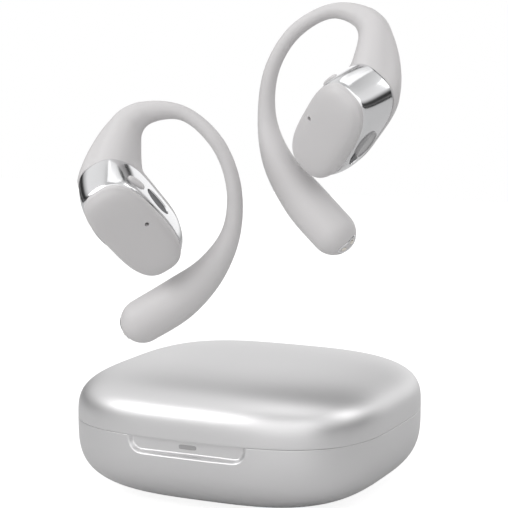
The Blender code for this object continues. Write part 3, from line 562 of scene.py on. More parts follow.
@dataclass
class Case:
    """The charging case: two pebble shells, the tray, the lid's lining and the small hardware.

    The sizes are the case's own, in millimetres, as the frame's solids have them.
    """

    half_length: float = 45.0
    half_depth: float = 42.0
    lid_height: float = 14.8
    base_drop: float = 21.4
    foot_ratio: float = 0.55
    plan_power: float = 3.2
    profile_power: float = 3.5
    wall: float = 1.6
    floor: float = 1.6
    seam_gap: float = 0.05
    seam_round: float = 0.13
    ledge_depth: float = 2.2
    ledge_width: float = 1.2
    notch_half_width: float = 17.6
    notch_height: float = 4.9
    notch_depth: float = 1.6
    notch_wall: float = 1.6
    notch_corner: float = 4.0
    notch_lip: float = 1.4
    knuckle: float = 1.3
    hinge_half_width: float = 19.4
    tray_thickness: float = 1.2
    well_half_width: float = 18.6
    well_half_length: float = 28.6
    well_wall: float = 1.0
    well_centre_x: float = 20.6
    well_floor_z: float = 8.6
    well_power: float = 3.0
    liner_inset: float = 5.0
    liner_wall: float = 1.0
    liner_rim: float = 1.2
    liner_rise: float = 0.6
    gap: float = 0.3
    button_y: float = -32.4
    button_radius: float = 2.3
    columns: int = 176
    overcut: float = 2.0
    hinge_margin: float = 0.6
    hinge_clear: float = 0.4
    hinge_room: float = 1.5
    swing_margin: float = 2.1

    def __post_init__(self) -> None:
        """Work out the places that follow from the sizes."""
        self.seam_z = self.base_drop * self.share(1, 1, self.foot_ratio)
        self.hinge_y = self.half_depth - self.knuckle
        self.notch_face_y = self.notch_depth - self.half_depth
        self.tray_top = self.seam_z - self.ledge_depth + self.gap + self.tray_thickness

    def share(self, height: float, half_height: float, ratio: float | None = None) -> float:
        """Give the plan's share of its full size at a height from the seam, or for a ratio of heights."""
        ratio = min(abs(height) / half_height, 1.0) if ratio is None else ratio
        return (1 - ratio**self.profile_power) ** (1 / self.profile_power)

    def angles(self) -> list[float]:
        """Give the angles round the plan, closer together over the ends of the finger notch."""
        spread = turns(self.columns)
        for side in (-1, 1):
            x = self.notch_half_width - self.notch_corner - 0.6
            while x < self.notch_half_width + 0.8:
                c = side * (x / self.half_length) ** (self.plan_power / 2)
                spread.append(math.tau - math.acos(c))
                x += 0.16
        return sorted(spread)

    def ring(self, height: float, inset: float, share: float, angles: list[float]) -> Ring:
        """Give the pebble's ring at a height from the seam, inset all round."""
        a, b = (self.half_length - inset) * share, (self.half_depth - inset) * share
        return [Vector((a * x, b * y, self.seam_z + height))
                for x, y in (rim_point(angle, self.plan_power) for angle in angles)]

    def rolled_edge(self, side: int) -> list[tuple[float, float, float]]:
        """Give the rows that round a shell's edge at the seam: side is 1 for the lid and -1 for the base."""
        return [(side * (self.seam_gap / 2 + self.seam_round * (1 - math.cos(a))),
                 self.seam_round * (1 - math.sin(a)), 1.0) for a in (0.0, 0.4, 0.8, 1.2, math.pi / 2)]

    def hinge_front(self) -> float:
        """Give where the cut for the knuckles begins, front to back."""
        return self.hinge_y - self.knuckle - self.hinge_room

    def rear_opening(self, name: str, margin: float, front_y: float, low: float, high: float) -> bpy.types.Object:
        """Make a tool that opens the rear wall round the hinge.

        Args:
            name: The tool's name.
            margin: How far it goes past each end of the hinge.
            front_y: Where it begins, front to back.
            low: Its foot from the seam.
            high: Its top from the seam.

        Returns:
            The tool.
        """
        reach = self.hinge_half_width + margin
        return rounded_box(name, (-reach, front_y, self.seam_z + low),
                           (reach, self.half_depth + self.overcut, self.seam_z + high))

    def notch_reach(self, x: float, z: float) -> float:
        """Give how far inside the notch's outline a point on the front lies, negative outside it."""
        flat_x = abs(x) - (self.notch_half_width - self.notch_corner)
        flat_z = (self.seam_z - self.notch_height + self.notch_corner) - z
        outside = math.hypot(max(flat_x, 0.0), max(flat_z, 0.0))
        return self.notch_corner - outside - min(max(flat_x, flat_z), 0.0)

    def press_notch(self, ring: Ring, face_y: float, grow: float) -> Ring:
        """Press the finger notch into a ring of the front wall.

        Args:
            ring: The ring.
            face_y: How far back the notch's face lies.
            grow: How much larger the outline is than the outer one.

        Returns:
            The pressed ring.
        """
        pressed = []
        for point in ring:
            depth = face_y - point.y
            if point.y < 0 and depth > 0:
                share = ease(0.0, self.notch_lip, self.notch_reach(point.x, point.z) + grow)
                point = Vector((point.x, point.y + depth * share, point.z))
            pressed.append(point)
        return pressed

    def base_rows(self) -> list[tuple[float, float, float]]:
        """Give the base's outer rows as height, inset and share, from the seam to the foot."""
        rows = self.rolled_edge(-1)
        height = -self.seam_gap / 2 - self.seam_round
        while height > -self.notch_height - 1.4:
            height -= 0.1 if height < -self.notch_height + 1.8 else 0.3
            rows.append((height, 0.0, self.share(height, self.base_drop)))
        limit = math.acos(self.foot_ratio ** (self.profile_power / 2))
        for k in range(1, 41):
            angle = limit * k / 40
            drop = -self.base_drop * math.sin(angle) ** (2 / self.profile_power)
            if drop < height - 0.2:
                rows.append((drop, 0.0, math.cos(angle) ** (2 / self.profile_power)))
        return rows

    def base_skin(self) -> bpy.types.Object:
        """Make the lower shell with its finger notch, socket opening and hinge cut."""
        angles = self.angles()
        rings = [self.press_notch(self.ring(h, inset, share, angles), self.notch_face_y, 0.0)
                 for h, inset, share in self.base_rows()]
        foot = [self.ring(-self.seam_z, 0.0, self.foot_ratio * s, angles) for s in (0.985, 0.6, 0.2)]
        ledge = self.wall + self.ledge_width
        inner_drop = self.base_drop - self.wall
        floor = self.floor - self.seam_z
        inner = [self.ring(-self.seam_gap / 2, self.wall, 1.0, angles),
                 self.ring(-self.ledge_depth, self.wall, 1.0, angles),
                 self.ring(-self.ledge_depth, ledge, 1.0, angles)]
        inner += [self.ring(floor * k / 24, ledge, self.share(floor * k / 24, inner_drop), angles)
                  for k in range(4, 25)]
        back = self.notch_face_y + self.notch_wall
        inner = [self.press_notch(ring, back, self.notch_wall) for ring in inner]
        middle = [self.ring(floor, ledge, self.share(floor, inner_drop) * s, angles) for s in (0.6, 0.2)]
        bm = skin_rings(list(reversed(inner + middle)) + rings + foot)
        shell = as_object("base_skin", bm, Slot.SATIN)
        low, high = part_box("usb_socket")
        edge = self.gap / 2
        socket = rounded_box("socket_opening", (low.x / MM - edge, self.half_depth - 11, low.z / MM - edge),
                             (high.x / MM + edge, self.half_depth + 3, high.z / MM + edge), bevel=1.55, segments=8)
        hinge = self.rear_opening("base_hinge_opening", self.hinge_margin, self.hinge_front(),
                                  -self.knuckle - self.hinge_clear, 5)
        relief = self.rear_opening("swing_relief", self.swing_margin, self.hinge_y - 0.9, -0.5, 5)
        return combine(shell, [socket, hinge, relief])

    def lid_skin(self) -> bpy.types.Object:
        """Make the upper shell, one smooth dome with a rolled lower edge and the hinge cut."""
        angles = turns(self.columns + 24)
        edge = self.seam_gap / 2
        rows = self.rolled_edge(1)
        for k in range(1, 9):
            height = edge + self.seam_round + k * 0.55
            rows.append((height, 0.0, self.share(height, self.lid_height)))
        start = math.asin((rows[-1][0] / self.lid_height) ** (self.profile_power / 2))
        for k in range(1, 45):
            angle = start + (math.pi / 2 * 0.999 - start) * k / 44
            rows.append((self.lid_height * math.sin(angle) ** (2 / self.profile_power), 0.0,
                         math.cos(angle) ** (2 / self.profile_power)))
        outer = [self.ring(h, inset, share, angles) for h, inset, share in rows]
        inner_height = self.lid_height - self.wall
        inner = [self.ring(edge, self.wall, 1.0, angles)]
        for k in range(1, 21):
            angle = math.pi / 2 * 0.995 * k / 20
            inner.append(self.ring(inner_height * math.sin(angle) ** (2 / self.profile_power), self.wall,
                                   math.cos(angle) ** (2 / self.profile_power), angles))
        bm = skin_rings(list(reversed(inner)) + outer)
        shell = as_object("lid_skin", bm, Slot.SATIN)
        hinge = self.rear_opening("lid_hinge_opening", self.hinge_margin, self.hinge_front(), -5,
                                  self.knuckle + self.hinge_clear)
        return combine(shell, [hinge])

    def liner_skin(self) -> bpy.types.Object:
        """Make the lid's lining: a rim that closes on the lid's wall and a shallow cup."""
        angles = turns(160)
        inset = self.wall + self.gap
        top = self.lid_height - self.wall - self.gap
        rim_low, rim_high = self.liner_rise, self.liner_rise + self.liner_rim
        limit = self.lid_height - self.wall
        heights = [rim_high + (top - rim_high) * math.sin(math.pi / 2 * k / 16) for k in range(17)]
        outer = [self.ring(rim_low, inset, 1.0, angles), self.ring(rim_high, inset, 1.0, angles)]
        outer += [self.ring(h, self.liner_inset, self.share(h, limit), angles) for h in heights]
        inner = []
        for k, h in enumerate(heights):
            inner.append(self.ring(h - self.liner_wall * k / 16, self.liner_inset + self.liner_wall,
                                   self.share(h, limit), angles))
        inner[0] = self.ring(rim_low + 0.5, self.liner_inset + self.liner_wall, 1.0, angles)
        lip = [self.ring(rim_low + 0.12, self.liner_inset + self.liner_wall - 0.15, 1.0, angles),
               self.ring(rim_low, self.liner_inset + self.liner_wall - 0.55, 1.0, angles)]
        bm = skin_rings(list(reversed(inner)) + lip + outer)
        liner = as_object("lid_liner_skin", bm, Slot.TRAY)
        cut = self.rear_opening("liner_hinge_opening", 1, self.half_depth - self.liner_inset + self.gap, -3,
                                rim_high + 1)
        return combine(liner, [cut])

    def well(self, side: int, profile: list[tuple[float, float]], name: str) -> bpy.types.Object:
        """Make a solid with the shape of one well from its profile of (size change, height)."""
        rings = [superellipse(self.well_half_width + grow, self.well_half_length + grow, self.well_power, z, 112,
                              (side * self.well_centre_x, 0.0)) for grow, z in profile]
        return as_object(name, skin_rings(rings), None)

    def tray_skin(self) -> bpy.types.Object:
        """Make the tray: a plate on the base's ledge with two deep wells, their mouths rounded over."""
        angles = turns(self.columns)
        inset = self.wall + self.gap
        top, low = self.tray_top - self.seam_z, self.tray_top - self.tray_thickness - self.seam_z
        rings = [self.ring(h, inset + roll, 1.0, angles)
                 for h, roll in ((low, 0.0), (top - 0.35, 0.0), (top - 0.1, 0.1), (top, 0.35))]
        tray = as_object("tray_skin", skin_rings(rings), Slot.TRAY)
        depth = self.tray_top - self.well_floor_z
        bowl = [(-self.well_half_width * (1 - share), self.tray_top - depth * drop)
                for share, drop in ((1.0, 0.2), (0.985, 0.45), (0.95, 0.8), (0.90, 0.94), (0.82, 1.0))]
        bowl = smooth_profile(bowl, 4)
        cups = [self.well(s, [(self.well_wall, self.tray_top - 0.25)]
                          + [(g + self.well_wall, z - (self.well_wall if z < 12 else 0.0)) for g, z in bowl],
                          f"cup_{s}") for s in (-1, 1)]
        combine(tray, cups, "UNION")
        mouth = [(1.0, self.tray_top + 1.0), (0.95, self.tray_top), (0.55, self.tray_top - 0.10),
                 (0.22, self.tray_top - 0.36), (0.04, self.tray_top - 0.75), (0.0, self.tray_top - 1.1)]
        wells = [self.well(s, mouth + bowl, f"well_{s}") for s in (-1, 1)]
        combine(tray, wells)
        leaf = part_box("base_hinge_leaf")
        reach = self.notch_half_width + self.notch_wall + self.gap
        front = rounded_box("tray_front_opening", (-reach, -self.half_depth - self.overcut, self.seam_z - 9),
                            (reach, self.notch_face_y + self.notch_wall + self.gap, self.seam_z + 3))
        rear = self.rear_opening("tray_rear_opening", 1, leaf[0].y / MM - self.gap, -9, 3)
        bore = self.disc("button_opening", (0, self.button_y, self.tray_top - 6), 9, self.button_radius + self.gap)
        return combine(tray, [front, rear, bore])

    def disc(self, name: str, foot: tuple[float, float, float], height: float, radius: float) -> bpy.types.Object:
        """Make an upright round tool from its foot's centre."""
        rings = [superellipse(radius, radius, 2.0, z, 64, foot[:2]) for z in (foot[2], foot[2] + height)]
        return as_object(name, skin_rings(rings), None)

    def button_skin(self) -> bpy.types.Object:
        """Make the pairing button with a rounded edge and a dished top."""
        low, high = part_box("pairing_button")
        r, z0, z1 = self.button_radius, low.z / MM, high.z / MM
        profile = [(r, z0), (r, z1 - 0.3), (r - 0.09, z1 - 0.09), (r - 0.3, z1), (r - 0.6, z1 - 0.05),
                   (r * 0.4, z1 - 0.13), (r * 0.1, z1 - 0.15)]
        rings = [superellipse(radius, radius, 2.0, z, 48, (0.0, self.button_y)) for radius, z in profile]
        return as_object("pairing_button_skin", skin_rings(rings), Slot.BUTTON)

    def light_skin(self) -> bpy.types.Object:
        """Make the status light: a pill-shaped lens set in the notch's face, with a rolled edge."""
        low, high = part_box("status_light")
        centre = (low + high) / 2 / MM
        turn = Matrix.Translation((centre.x, self.notch_face_y, centre.z)) @ Matrix.Rotation(math.pi / 2, 4, "X")
        half_x, half_z = (high.x - low.x) / 2 / MM, (high.z - low.z) / 2 / MM
        profile = [(0.0, -0.6), (0.0, 0.02), (0.06, 0.07), (0.16, 0.09), (0.4, 0.06), (0.6, 0.05)]
        bm = skin_rings(pad_rings(half_x, half_z, 5.0, profile))
        return as_object("status_light_skin", bm, Slot.LENS, turn)

    def build(self) -> None:
        """Make every piece of the case and put it on its body."""
        plan = [(self.base_skin, "case_base", ["base_shell"]), (self.lid_skin, "lid", ["lid_shell"]),
                (self.liner_skin, "lid", ["lid_liner"]), (self.tray_skin, "case_base", ["tray"]),
                (self.button_skin, "pairing_button", ["pairing_button"]),
                (self.light_skin, "case_base", ["status_light"])]
        for make, body, nodes in plan:
            piece = make()
            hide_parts(*nodes)
            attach(piece, body)
            LOG.info("%s rides on %s", piece.name, body)


# ---------------------------------------------------------------- buds

class Side(Enum):
    """The two buds, with the sign that mirrors the right one."""

    LEFT = "left"
    RIGHT = "right"

    @property
    def mirror(self) -> float:
        """Give 1 for the left bud and -1 for the mirrored right one."""
        return 1.0 if self is Side.LEFT else -1.0


@dataclass
class Spine:
    """The hook's centre line and its radius, from the capsule to the battery barrel's end."""

    points: tuple[tuple[float, float, float, float], ...] = (
        (-9.6, 1.8, -15.0, 5.9), (-13.8, 10.8, -21.8, 3.45), (-9.1, 20.8, -21.8, 1.85), (-0.7, 24.8, -16.4, 1.75),
        (8.6, 23.0, -10.9, 1.8), (17.0, 16.5, -7.0, 2.25), (21.5, 7.3, -4.1, 3.7), (23.9, -3.5, -3.9, 5.2),
        (23.8, -14.1, -3.5, 5.35))
    segments: int = 44

    @property
    def last(self) -> int:
        """Give the last station."""
        return len(self.points) - 1

    def at(self, station: float) -> tuple[Vector, float]:
        """Give the centre and radius at a station."""
        k = min(int(station), self.last - 1)
        value = curve_point(self.points, k, station - k)
        return Vector(value[:3]), value[3]

    def ring(self, station: float, share: float = 1.0, shift: float = 0.0) -> Ring:
        """Give a round ring about the spine.

        Args:
            station: Where along the spine.
            share: The ring's radius as a share of the hook's.
            shift: How far it moves along the spine, in radii.

        Returns:
            The ring's points.
        """
        centre, radius = self.at(station)
        tangent = (self.at(min(station + 0.01, self.last))[0] - self.at(max(station - 0.01, 0))[0]).normalized()
        across = tangent.cross(Vector((0, 0, 1))).normalized()
        upward = across.cross(tangent).normalized()
        centre = centre + tangent * shift * radius
        return [centre + (across * math.cos(a) + upward * math.sin(a)) * radius * share
                for a in (math.tau * k / self.segments for k in range(self.segments))]

    def tube(self) -> bmesh.types.BMesh:
        """Give the whole hook as one closed tube with round ends."""
        domes = [math.radians(a) for a in (88, 78, 66, 54, 42, 30, 18, 8)]
        rings = [self.ring(0.0, math.cos(a), -0.8 * math.sin(a)) for a in domes]
        rings += [self.ring(self.last * k / 110) for k in range(111)]
        rings += [self.ring(float(self.last), math.cos(a), math.sin(a)) for a in reversed(domes)]
        return skin_rings(rings)


@dataclass(frozen=True)
class ArmRoot:
    """How the arm grows out of the capsule: an oval over the capsule's arm end that turns into the round hook.

    Each pair is a start and its change along the root, in millimetres, spine stations or shares.
    """

    half_x: tuple[float, float] = (7.7, -0.6)
    half_y: tuple[float, float] = (7.5, -0.5)
    centre_x: tuple[float, float] = (-7.0, -2.0)
    centre_y: tuple[float, float] = (0.0, 0.6)
    sink: tuple[float, float] = (-0.15, -7.0)
    station: tuple[float, float] = (0.1, 1.2)
    hook_share: tuple[float, float] = (1.12, -0.08)
    power: float = 2.6
    steps: int = 26

    @staticmethod
    def along(pair: tuple[float, float], t: float) -> float:
        """Give a pair's value a share t along the root."""
        return pair[0] + pair[1] * t


@dataclass
class Bud:
    """One open-ear bud: capsule, plated band, ear skin, hook and battery barrel."""

    side: Side
    place: tuple[float, float, float]
    turn: tuple[float, float, float]
    half_length: float = 14.0
    half_width: float = 7.1
    power: float = 2.9
    segments: int = 128
    cover_depth: float = 3.8
    band_back: float = -10.5
    ear_back: float = -16.2
    band_wall: float = 0.9
    cover_wall: float = 1.0
    split: float = 0.06
    bulge: float = 0.95
    rise: float = 1.1
    slant: float = 1.9
    mic_hole: tuple[float, float] = (-1.1, 4.4)
    mic_radius: float = 0.5
    loop_grille: tuple[float, float, float, float] = (-0.6, -6.8, 4.1, 1.75)
    control_pad: tuple[float, float, float, float] = (-8.2, -6.2, 2.5, 1.2)
    outlet_grille: tuple[float, float, float, float] = (1.2, -6.9, 5.2, 2.1)
    sensor_window: tuple[float, float, float, float] = (-1.4, -7.0, 4.4, 2.4)
    contact_normal: tuple[float, float, float] = (-0.25, -0.93, 0.1)
    contact_long: tuple[float, float, float] = (2.7, 0.2, 4.3)
    contact_half: tuple[float, float] = (2.7, 1.35)
    voxel: float = 0.32
    cut_station: float = 1.45
    bend: tuple[float, float] = (1.9, 4.5)
    fill_pull: float = 0.7
    smooth_pull: float = 0.5
    fill_least: float = 0.002
    hook_reach: float = 2.2
    fill_passes: int = 62
    smooth_passes: int = 8
    fill_end_x: float = 12.5
    fill_margin: float = 0.7
    spine: Spine = field(default_factory=Spine)
    arm: ArmRoot = ArmRoot()

    def __post_init__(self) -> None:
        """Work out the bud's place in the case's frame, in millimetres."""
        turn = Euler([math.radians(a) for a in self.turn]).to_matrix().to_4x4()
        self.frame = Matrix.Translation(self.place) @ turn @ Matrix.Diagonal((1.0, self.side.mirror, 1.0, 1.0))

    def name(self, piece: str) -> str:
        """Give a piece's full name."""
        return f"{self.side.value}_{piece}"

    def settle(self, item: bpy.types.Object, body: str, *nodes: str) -> bpy.types.Object:
        """Put a piece on one of the bud's bodies and let it stand for CAD nodes."""
        if nodes:
            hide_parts(*[self.name(node) for node in nodes])
        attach(item, self.name(body))
        LOG.info("%s rides on %s", item.name, self.name(body))
        return item

    def deepen(self, x: float, z: float) -> float:
        """Move a depth so that the band grows taller toward the arm: its front edge forward, its back edge back."""
        forward = self.rise * ease(-1.0, -3.5, z) * ease(-8.0, -4.2, z)
        backward = self.slant * ease(-5.5, self.band_back, z)
        return z + (forward - backward) * ease(4.0, -13.0, x)

    def ring(self, z: float, inset: float) -> Ring:
        """Give the capsule's ring at one depth, inset all round; near the face's middle it closes to a line."""
        ring = superellipse(max(self.half_length - inset, 0.1), max(self.half_width - inset, 0.05), self.power, z,
                            self.segments)
        for point in ring:
            point.z = self.deepen(point.x, z)
        return ring

    def touch_cover(self) -> bpy.types.Object:
        """Make the domed outer cover with its microphone hole."""
        outer = smooth_profile([(-self.cover_depth - 0.12, 0.0), (-2.6, 0.02), (-1.55, 0.4), (-0.75, 1.2),
                                (-0.25, 2.4), (0.02, 3.9), (0.14, 5.4), (0.18, 7.0)], 6)
        inner = [(-self.cover_depth - 0.12, self.cover_wall), (-2.2, self.cover_wall + 0.3), (-1.6, 3.4),
                 (-1.2, 7.0)]
        rings = [self.ring(z, inset) for z, inset in list(reversed(outer)) + inner]
        cover = as_object(self.name("cover_skin"), skin_rings(rings), Slot.SOFT, self.frame)
        hole = [superellipse(r, r, 2.0, z, 40, self.mic_hole)
                for r, z in ((self.mic_radius, -4.0), (self.mic_radius, -0.4), (self.mic_radius + 0.12, 0.4))]
        tool = as_object("mic_tool", skin_rings(hole), None, self.frame)
        combine(cover, [tool])
        return self.settle(cover, "bud", "touch_cover")

    def side_frame(self, opening: tuple[float, float, float, float], side: int) -> Matrix:
        """Give a frame on the capsule's side wall: x along the wall, y along its depth, z outwards."""
        x, z = opening[:2]
        along = abs(x) / self.half_length
        across = (1 - along**self.power) ** (1 / self.power)
        slope = self.power - 1
        normal = Vector((math.copysign(along**slope, x) / self.half_length,
                         side * across**slope / self.half_width, 0.0)).normalized()
        turn = Matrix(((-normal.y, normal.x, 0.0), (0.0, 0.0, 1.0), normal)).transposed().to_4x4()
        return Matrix.Translation((x, side * across * self.half_width, z)) @ turn

    def plate(self, half: tuple[float, float], profile: list[tuple[float, float]], power: float, name: str,
              slot: Slot | None, place: Matrix) -> bpy.types.Object:
        """Make an oval pad from its half sizes and its (inset, height) profile, bent to a side of the capsule."""
        rings = []
        for ring in pad_rings(half[0], half[1], power, profile):
            bent = []
            for point in ring:
                flat = place @ Vector((point.x, point.y, 0.0))
                along = min(abs(flat.x) / self.half_length, 1.0)
                wall = self.half_width * (1 - along**self.power) ** (1 / self.power)
                bent.append(place @ point + Vector((0.0, math.copysign(wall, flat.y) - flat.y, 0.0)))
            rings.append(bent)
        item = as_object(name, skin_rings(rings), slot, self.frame)
        if slot is Slot.MESH:
            self.flat_uv(item, self.frame @ place)
        return item

    def flat_uv(self, item: bpy.types.Object, place: Matrix) -> None:
        """Lay a piece's UV map flat on its own plane, one unit to a metre, for the weave."""
        inverse = (Matrix.Scale(MM, 4) @ place).inverted()
        layer = item.data.uv_layers.new(name="plane")
        for loop in item.data.loops:
            point = inverse @ item.data.vertices[loop.vertex_index].co
            layer.data[loop.index].uv = (point.x * MM, point.y * MM)

    def plated_band(self) -> bpy.types.Object:
        """Make the plated band: swollen at the arm's end, with its three side openings and their rims."""
        front, back = -self.cover_depth - self.split, self.band_back
        steps = 20
        outer = []
        for k in range(steps + 1):
            t = k / steps
            edge = 0.10 * (max(0.0, 1 - t / 0.04) + max(0.0, 1 - (1 - t) / 0.04))
            swell = self.bulge * math.sin(math.pi * min(t * 1.15, 1.0) ** 0.8 * 0.5) * (1 - 0.25 * t**2)
            outer.append(self.ring(front + (back - front) * t, edge - swell))
        inner = [self.ring(z, self.band_wall) for z in (back, (front + back) / 2, front)]
        band = as_object(self.name("band_skin"), skin_rings(outer + inner, closed=True), Slot.CHROME, self.frame)
        tools = []
        for opening, side in ((self.loop_grille, 1), (self.control_pad, 1), (self.outlet_grille, -1)):
            profile = [(0.0, -3.0), (0.0, 0.7), (-0.12, 0.92), (-0.4, 1.2), (-0.9, 2.2)]
            tools.append(self.plate(opening[2:], profile, 2.2, "opening_tool", None, self.side_frame(opening, side)))
        combine(band, tools, sharp=50)
        return self.settle(band, "bud", "plated_band")

    def trims(self) -> None:
        """Make what sits in the band's side openings: the grille, the raised pad and the outlet's window."""
        gap = 0.04
        for piece, opening, side, slot, rise in (("loop_grille", self.loop_grille, 1, Slot.MESH, 0.5),
                                                 ("outlet_grille", self.outlet_grille, -1, Slot.MESH, 0.55)):
            profile = [(0.0, rise - 1.4), (0.0, rise - 0.02), (0.2, rise), (0.6, rise + 0.02), (1.2, rise + 0.03)]
            item = self.plate((opening[2] - gap, opening[3] - gap), profile, 2.2, self.name(f"{piece}_skin"), slot,
                              self.side_frame(opening, side))
            self.settle(item, "bud", piece)
        half_x, half_z = self.control_pad[2:]
        profile = [(0.0, -0.8), (0.0, 0.85), (0.08, 1.0), (0.3, 1.14), (0.7, 1.2), (1.15, 1.22)]
        pad = self.plate((half_x - 0.12, half_z - 0.12), profile, 2.4, self.name("control_pad_skin"), Slot.SOFT,
                         self.side_frame(self.control_pad, 1))
        self.settle(pad, "bud", "control_pad")
        profile = [(0.0, -1.0), (0.0, 1.02), (0.1, 1.14), (0.26, 1.14), (0.36, 0.98), (0.9, 0.96), (1.9, 0.96)]
        window = self.plate(self.sensor_window[2:], profile, 2.1, self.name("sensor_window"), Slot.LENS,
                            self.side_frame(self.sensor_window, -1))
        self.settle(window, "bud")

    def silicone(self) -> tuple[bpy.types.Object, bpy.types.Object]:
        """Make the ear skin and the hook as one flowing surface, split where the hook leaves the arm.

        Returns:
            The ear skin and the hook skin.
        """
        front, back = self.band_back - self.split, self.ear_back
        swell = 0.72 * self.bulge
        dome = [(front + (back - front) * t, inset) for t, inset in
                ((0.02, -swell), (0.25, -0.85 * swell), (0.5, -0.2), (0.75, 0.9), (0.93, 2.6), (1.0, 4.8), (1.0, 7.0))]
        rings = [self.ring(z, inset) for z, inset in [(front + 1.2, 1.2), (front, 1.15), (front, -swell)]
                 + smooth_profile(dome, 5)]
        bm = skin_rings(rings)
        for loose in (self.root(front), self.spine.tube()):
            part = bpy.data.meshes.new("part")
            loose.to_mesh(part)
            loose.free()
            bm.from_mesh(part)
        mesh = bpy.data.meshes.new("silicone")
        bm.to_mesh(mesh)
        bm.free()
        item = bpy.data.objects.new("silicone", mesh)
        bpy.context.scene.collection.objects.link(item)
        remesh = item.modifiers.new("union", "REMESH")
        remesh.mode = "VOXEL"
        remesh.voxel_size = self.voxel
        remesh.use_smooth_shade = True
        apply_modifiers(item)
        self.relax(item.data)
        parts = self.split_skin(item)
        bpy.data.objects.remove(item, do_unlink=True)
        return parts

    def root(self, front: float) -> bmesh.types.BMesh:
        """Give the arm's root: a loft from the capsule's own outline at its arm end to the round hook.

        Args:
            front: Depth of the ear skin's front edge.

        Returns:
            The closed loft.
        """
        arm = self.arm
        rings = []
        for k in range(arm.steps + 1):
            t = k / arm.steps
            foot = superellipse(arm.along(arm.half_x, t), arm.along(arm.half_y, t), arm.power, 0.0,
                                self.spine.segments, (arm.along(arm.centre_x, t), arm.along(arm.centre_y, t)))
            hook = self.spine.ring(arm.along(arm.station, t), arm.along(arm.hook_share, t))
            share = ease(0.0, 1.0, t)
            ring = []
            for low, high in zip(foot, hook):
                low.z = self.deepen(low.x, front) + arm.along(arm.sink, t)
                ring.append(low.lerp(high, share))
            rings.append(ring)
        return skin_rings(rings)

    def relax(self, mesh: bpy.types.Mesh) -> None:
        """Fill the crease where the arm leaves the ear skin, then take the voxel steps out of the surface."""
        bm = bmesh.new()
        bm.from_mesh(mesh)
        for step in range(self.fill_passes + self.smooth_passes):
            filling = step < self.fill_passes
            if filling:
                bm.normal_update()
            moves = []
            for vert in bm.verts:
                band_edge = self.deepen(vert.co.x, self.band_back) - self.fill_margin
                if filling and (vert.co.x > self.fill_end_x or vert.co.z > band_edge):
                    continue
                middle = Vector()
                for edge in vert.link_edges:
                    middle += edge.other_vert(vert).co
                pull = middle / len(vert.link_edges) - vert.co
                if not filling or pull.dot(vert.normal) > self.fill_least:
                    moves.append((vert, pull * (self.fill_pull if filling else self.smooth_pull)))
            for vert, pull in moves:
                vert.co += pull
        bm.to_mesh(mesh)
        bm.free()

    def split_skin(self, item: bpy.types.Object) -> tuple[bpy.types.Object, bpy.types.Object]:
        """Split the flowing surface at the arm into its bud part and its hook part."""
        stations = [self.spine.last * k / 160 for k in range(161)]
        line = [self.spine.at(station) for station in stations]
        results = []
        for piece, keep_hook in (("ear_skin", False), ("hook_skin", True)):
            bm = bmesh.new()
            bm.from_mesh(item.data)
            drop = []
            for face in bm.faces:
                centre = face.calc_center_median()
                gaps = [(centre - point).length for point, _ in line]
                nearest = min(range(len(gaps)), key=gaps.__getitem__)
                on_hook = stations[nearest] > self.cut_station and gaps[nearest] < line[nearest][1] + self.hook_reach
                if on_hook != keep_hook:
                    drop.append(face)
            bmesh.ops.delete(bm, geom=drop, context="FACES")
            results.append(as_object(self.name(piece), bm, Slot.SOFT, self.frame, sharp=180))
        return results[0], results[1]

    def contact(self) -> None:
        """Make the charging contact on the barrel's end: a plated oval with two contact buttons."""
        normal = Vector(self.contact_normal).normalized()
        long_axis = Vector(self.contact_long)
        long_axis = (long_axis - normal * long_axis.dot(normal)).normalized()
        turn = Matrix((long_axis, normal.cross(long_axis), normal)).transposed().to_4x4()
        end, radius = self.spine.at(self.spine.last)
        half_x, half_y = self.contact_half
        profile = [(-0.12, -0.35), (-0.12, 0.02), (-0.02, 0.10), (0.14, 0.10), (0.26, -0.04), (0.5, -0.10),
                   (0.9, -0.12), (1.3, -0.12)]
        for piece, rings, slot, body_nodes in (
                ("contact_plate_skin", pad_rings(half_x, half_y, 2.6, profile, 96), Slot.CHROME, ["contact_plate"]),
                ("contact_button_a", self.button_rings(-1.3), Slot.GOLD, ["contact_pad_a"]),
                ("contact_button_b", self.button_rings(1.3), Slot.GOLD, ["contact_pad_b"])):
            wrapped = [[self.wrap(point, radius) for point in ring] for ring in rings]
            item = as_object(self.name(piece), skin_rings(wrapped), slot,
                             self.frame @ Matrix.Translation(end) @ turn)
            self.settle(item, "hook", *body_nodes)

    def button_rings(self, x: float) -> list[Ring]:
        """Give the rings of one round contact button, centred at x along the oval."""
        profile = [(0.62, -0.3), (0.62, -0.04), (0.52, 0.06), (0.35, 0.10), (0.12, 0.12)]
        return [superellipse(r, r, 2.0, z, 40, (x, 0.0)) for r, z in profile]

    @staticmethod
    def wrap(point: Vector, radius: float) -> Vector:
        """Lay a point of a flat pad on the barrel's round end, its height kept."""
        flat = Vector((point.x, point.y, math.sqrt(max(radius**2 - point.x**2 - point.y**2, 0.01))))
        return flat.normalized() * (radius + point.z)

    def arm_microphone(self) -> None:
        """Make the small microphone port on the arm's outer edge, a cup with a rolled rim whose near-black colour is
        painted shade for the port's inside.
        """
        centre, radius = self.spine.at(0.35)
        out = (Vector((-12.2, -4.3, -15.7)) - centre).normalized()
        turn = out.to_track_quat("Z", "Y").to_matrix().to_4x4()
        profile = [(0.62, -0.9), (0.62, 0.02), (0.56, 0.08), (0.48, 0.07), (0.42, -0.1), (0.4, -0.6), (0.1, -0.62)]
        rings = [superellipse(r, r, 2.0, z, 40) for r, z in profile]
        # Its near-black colour is painted shade for the dark inside of the port.
        item = as_object(self.name("arm_mic_port"), skin_rings(rings), Slot.BLOCK,
                         self.frame @ Matrix.Translation(centre + out * (radius + 0.02)) @ turn)
        self.settle(item, "bud")

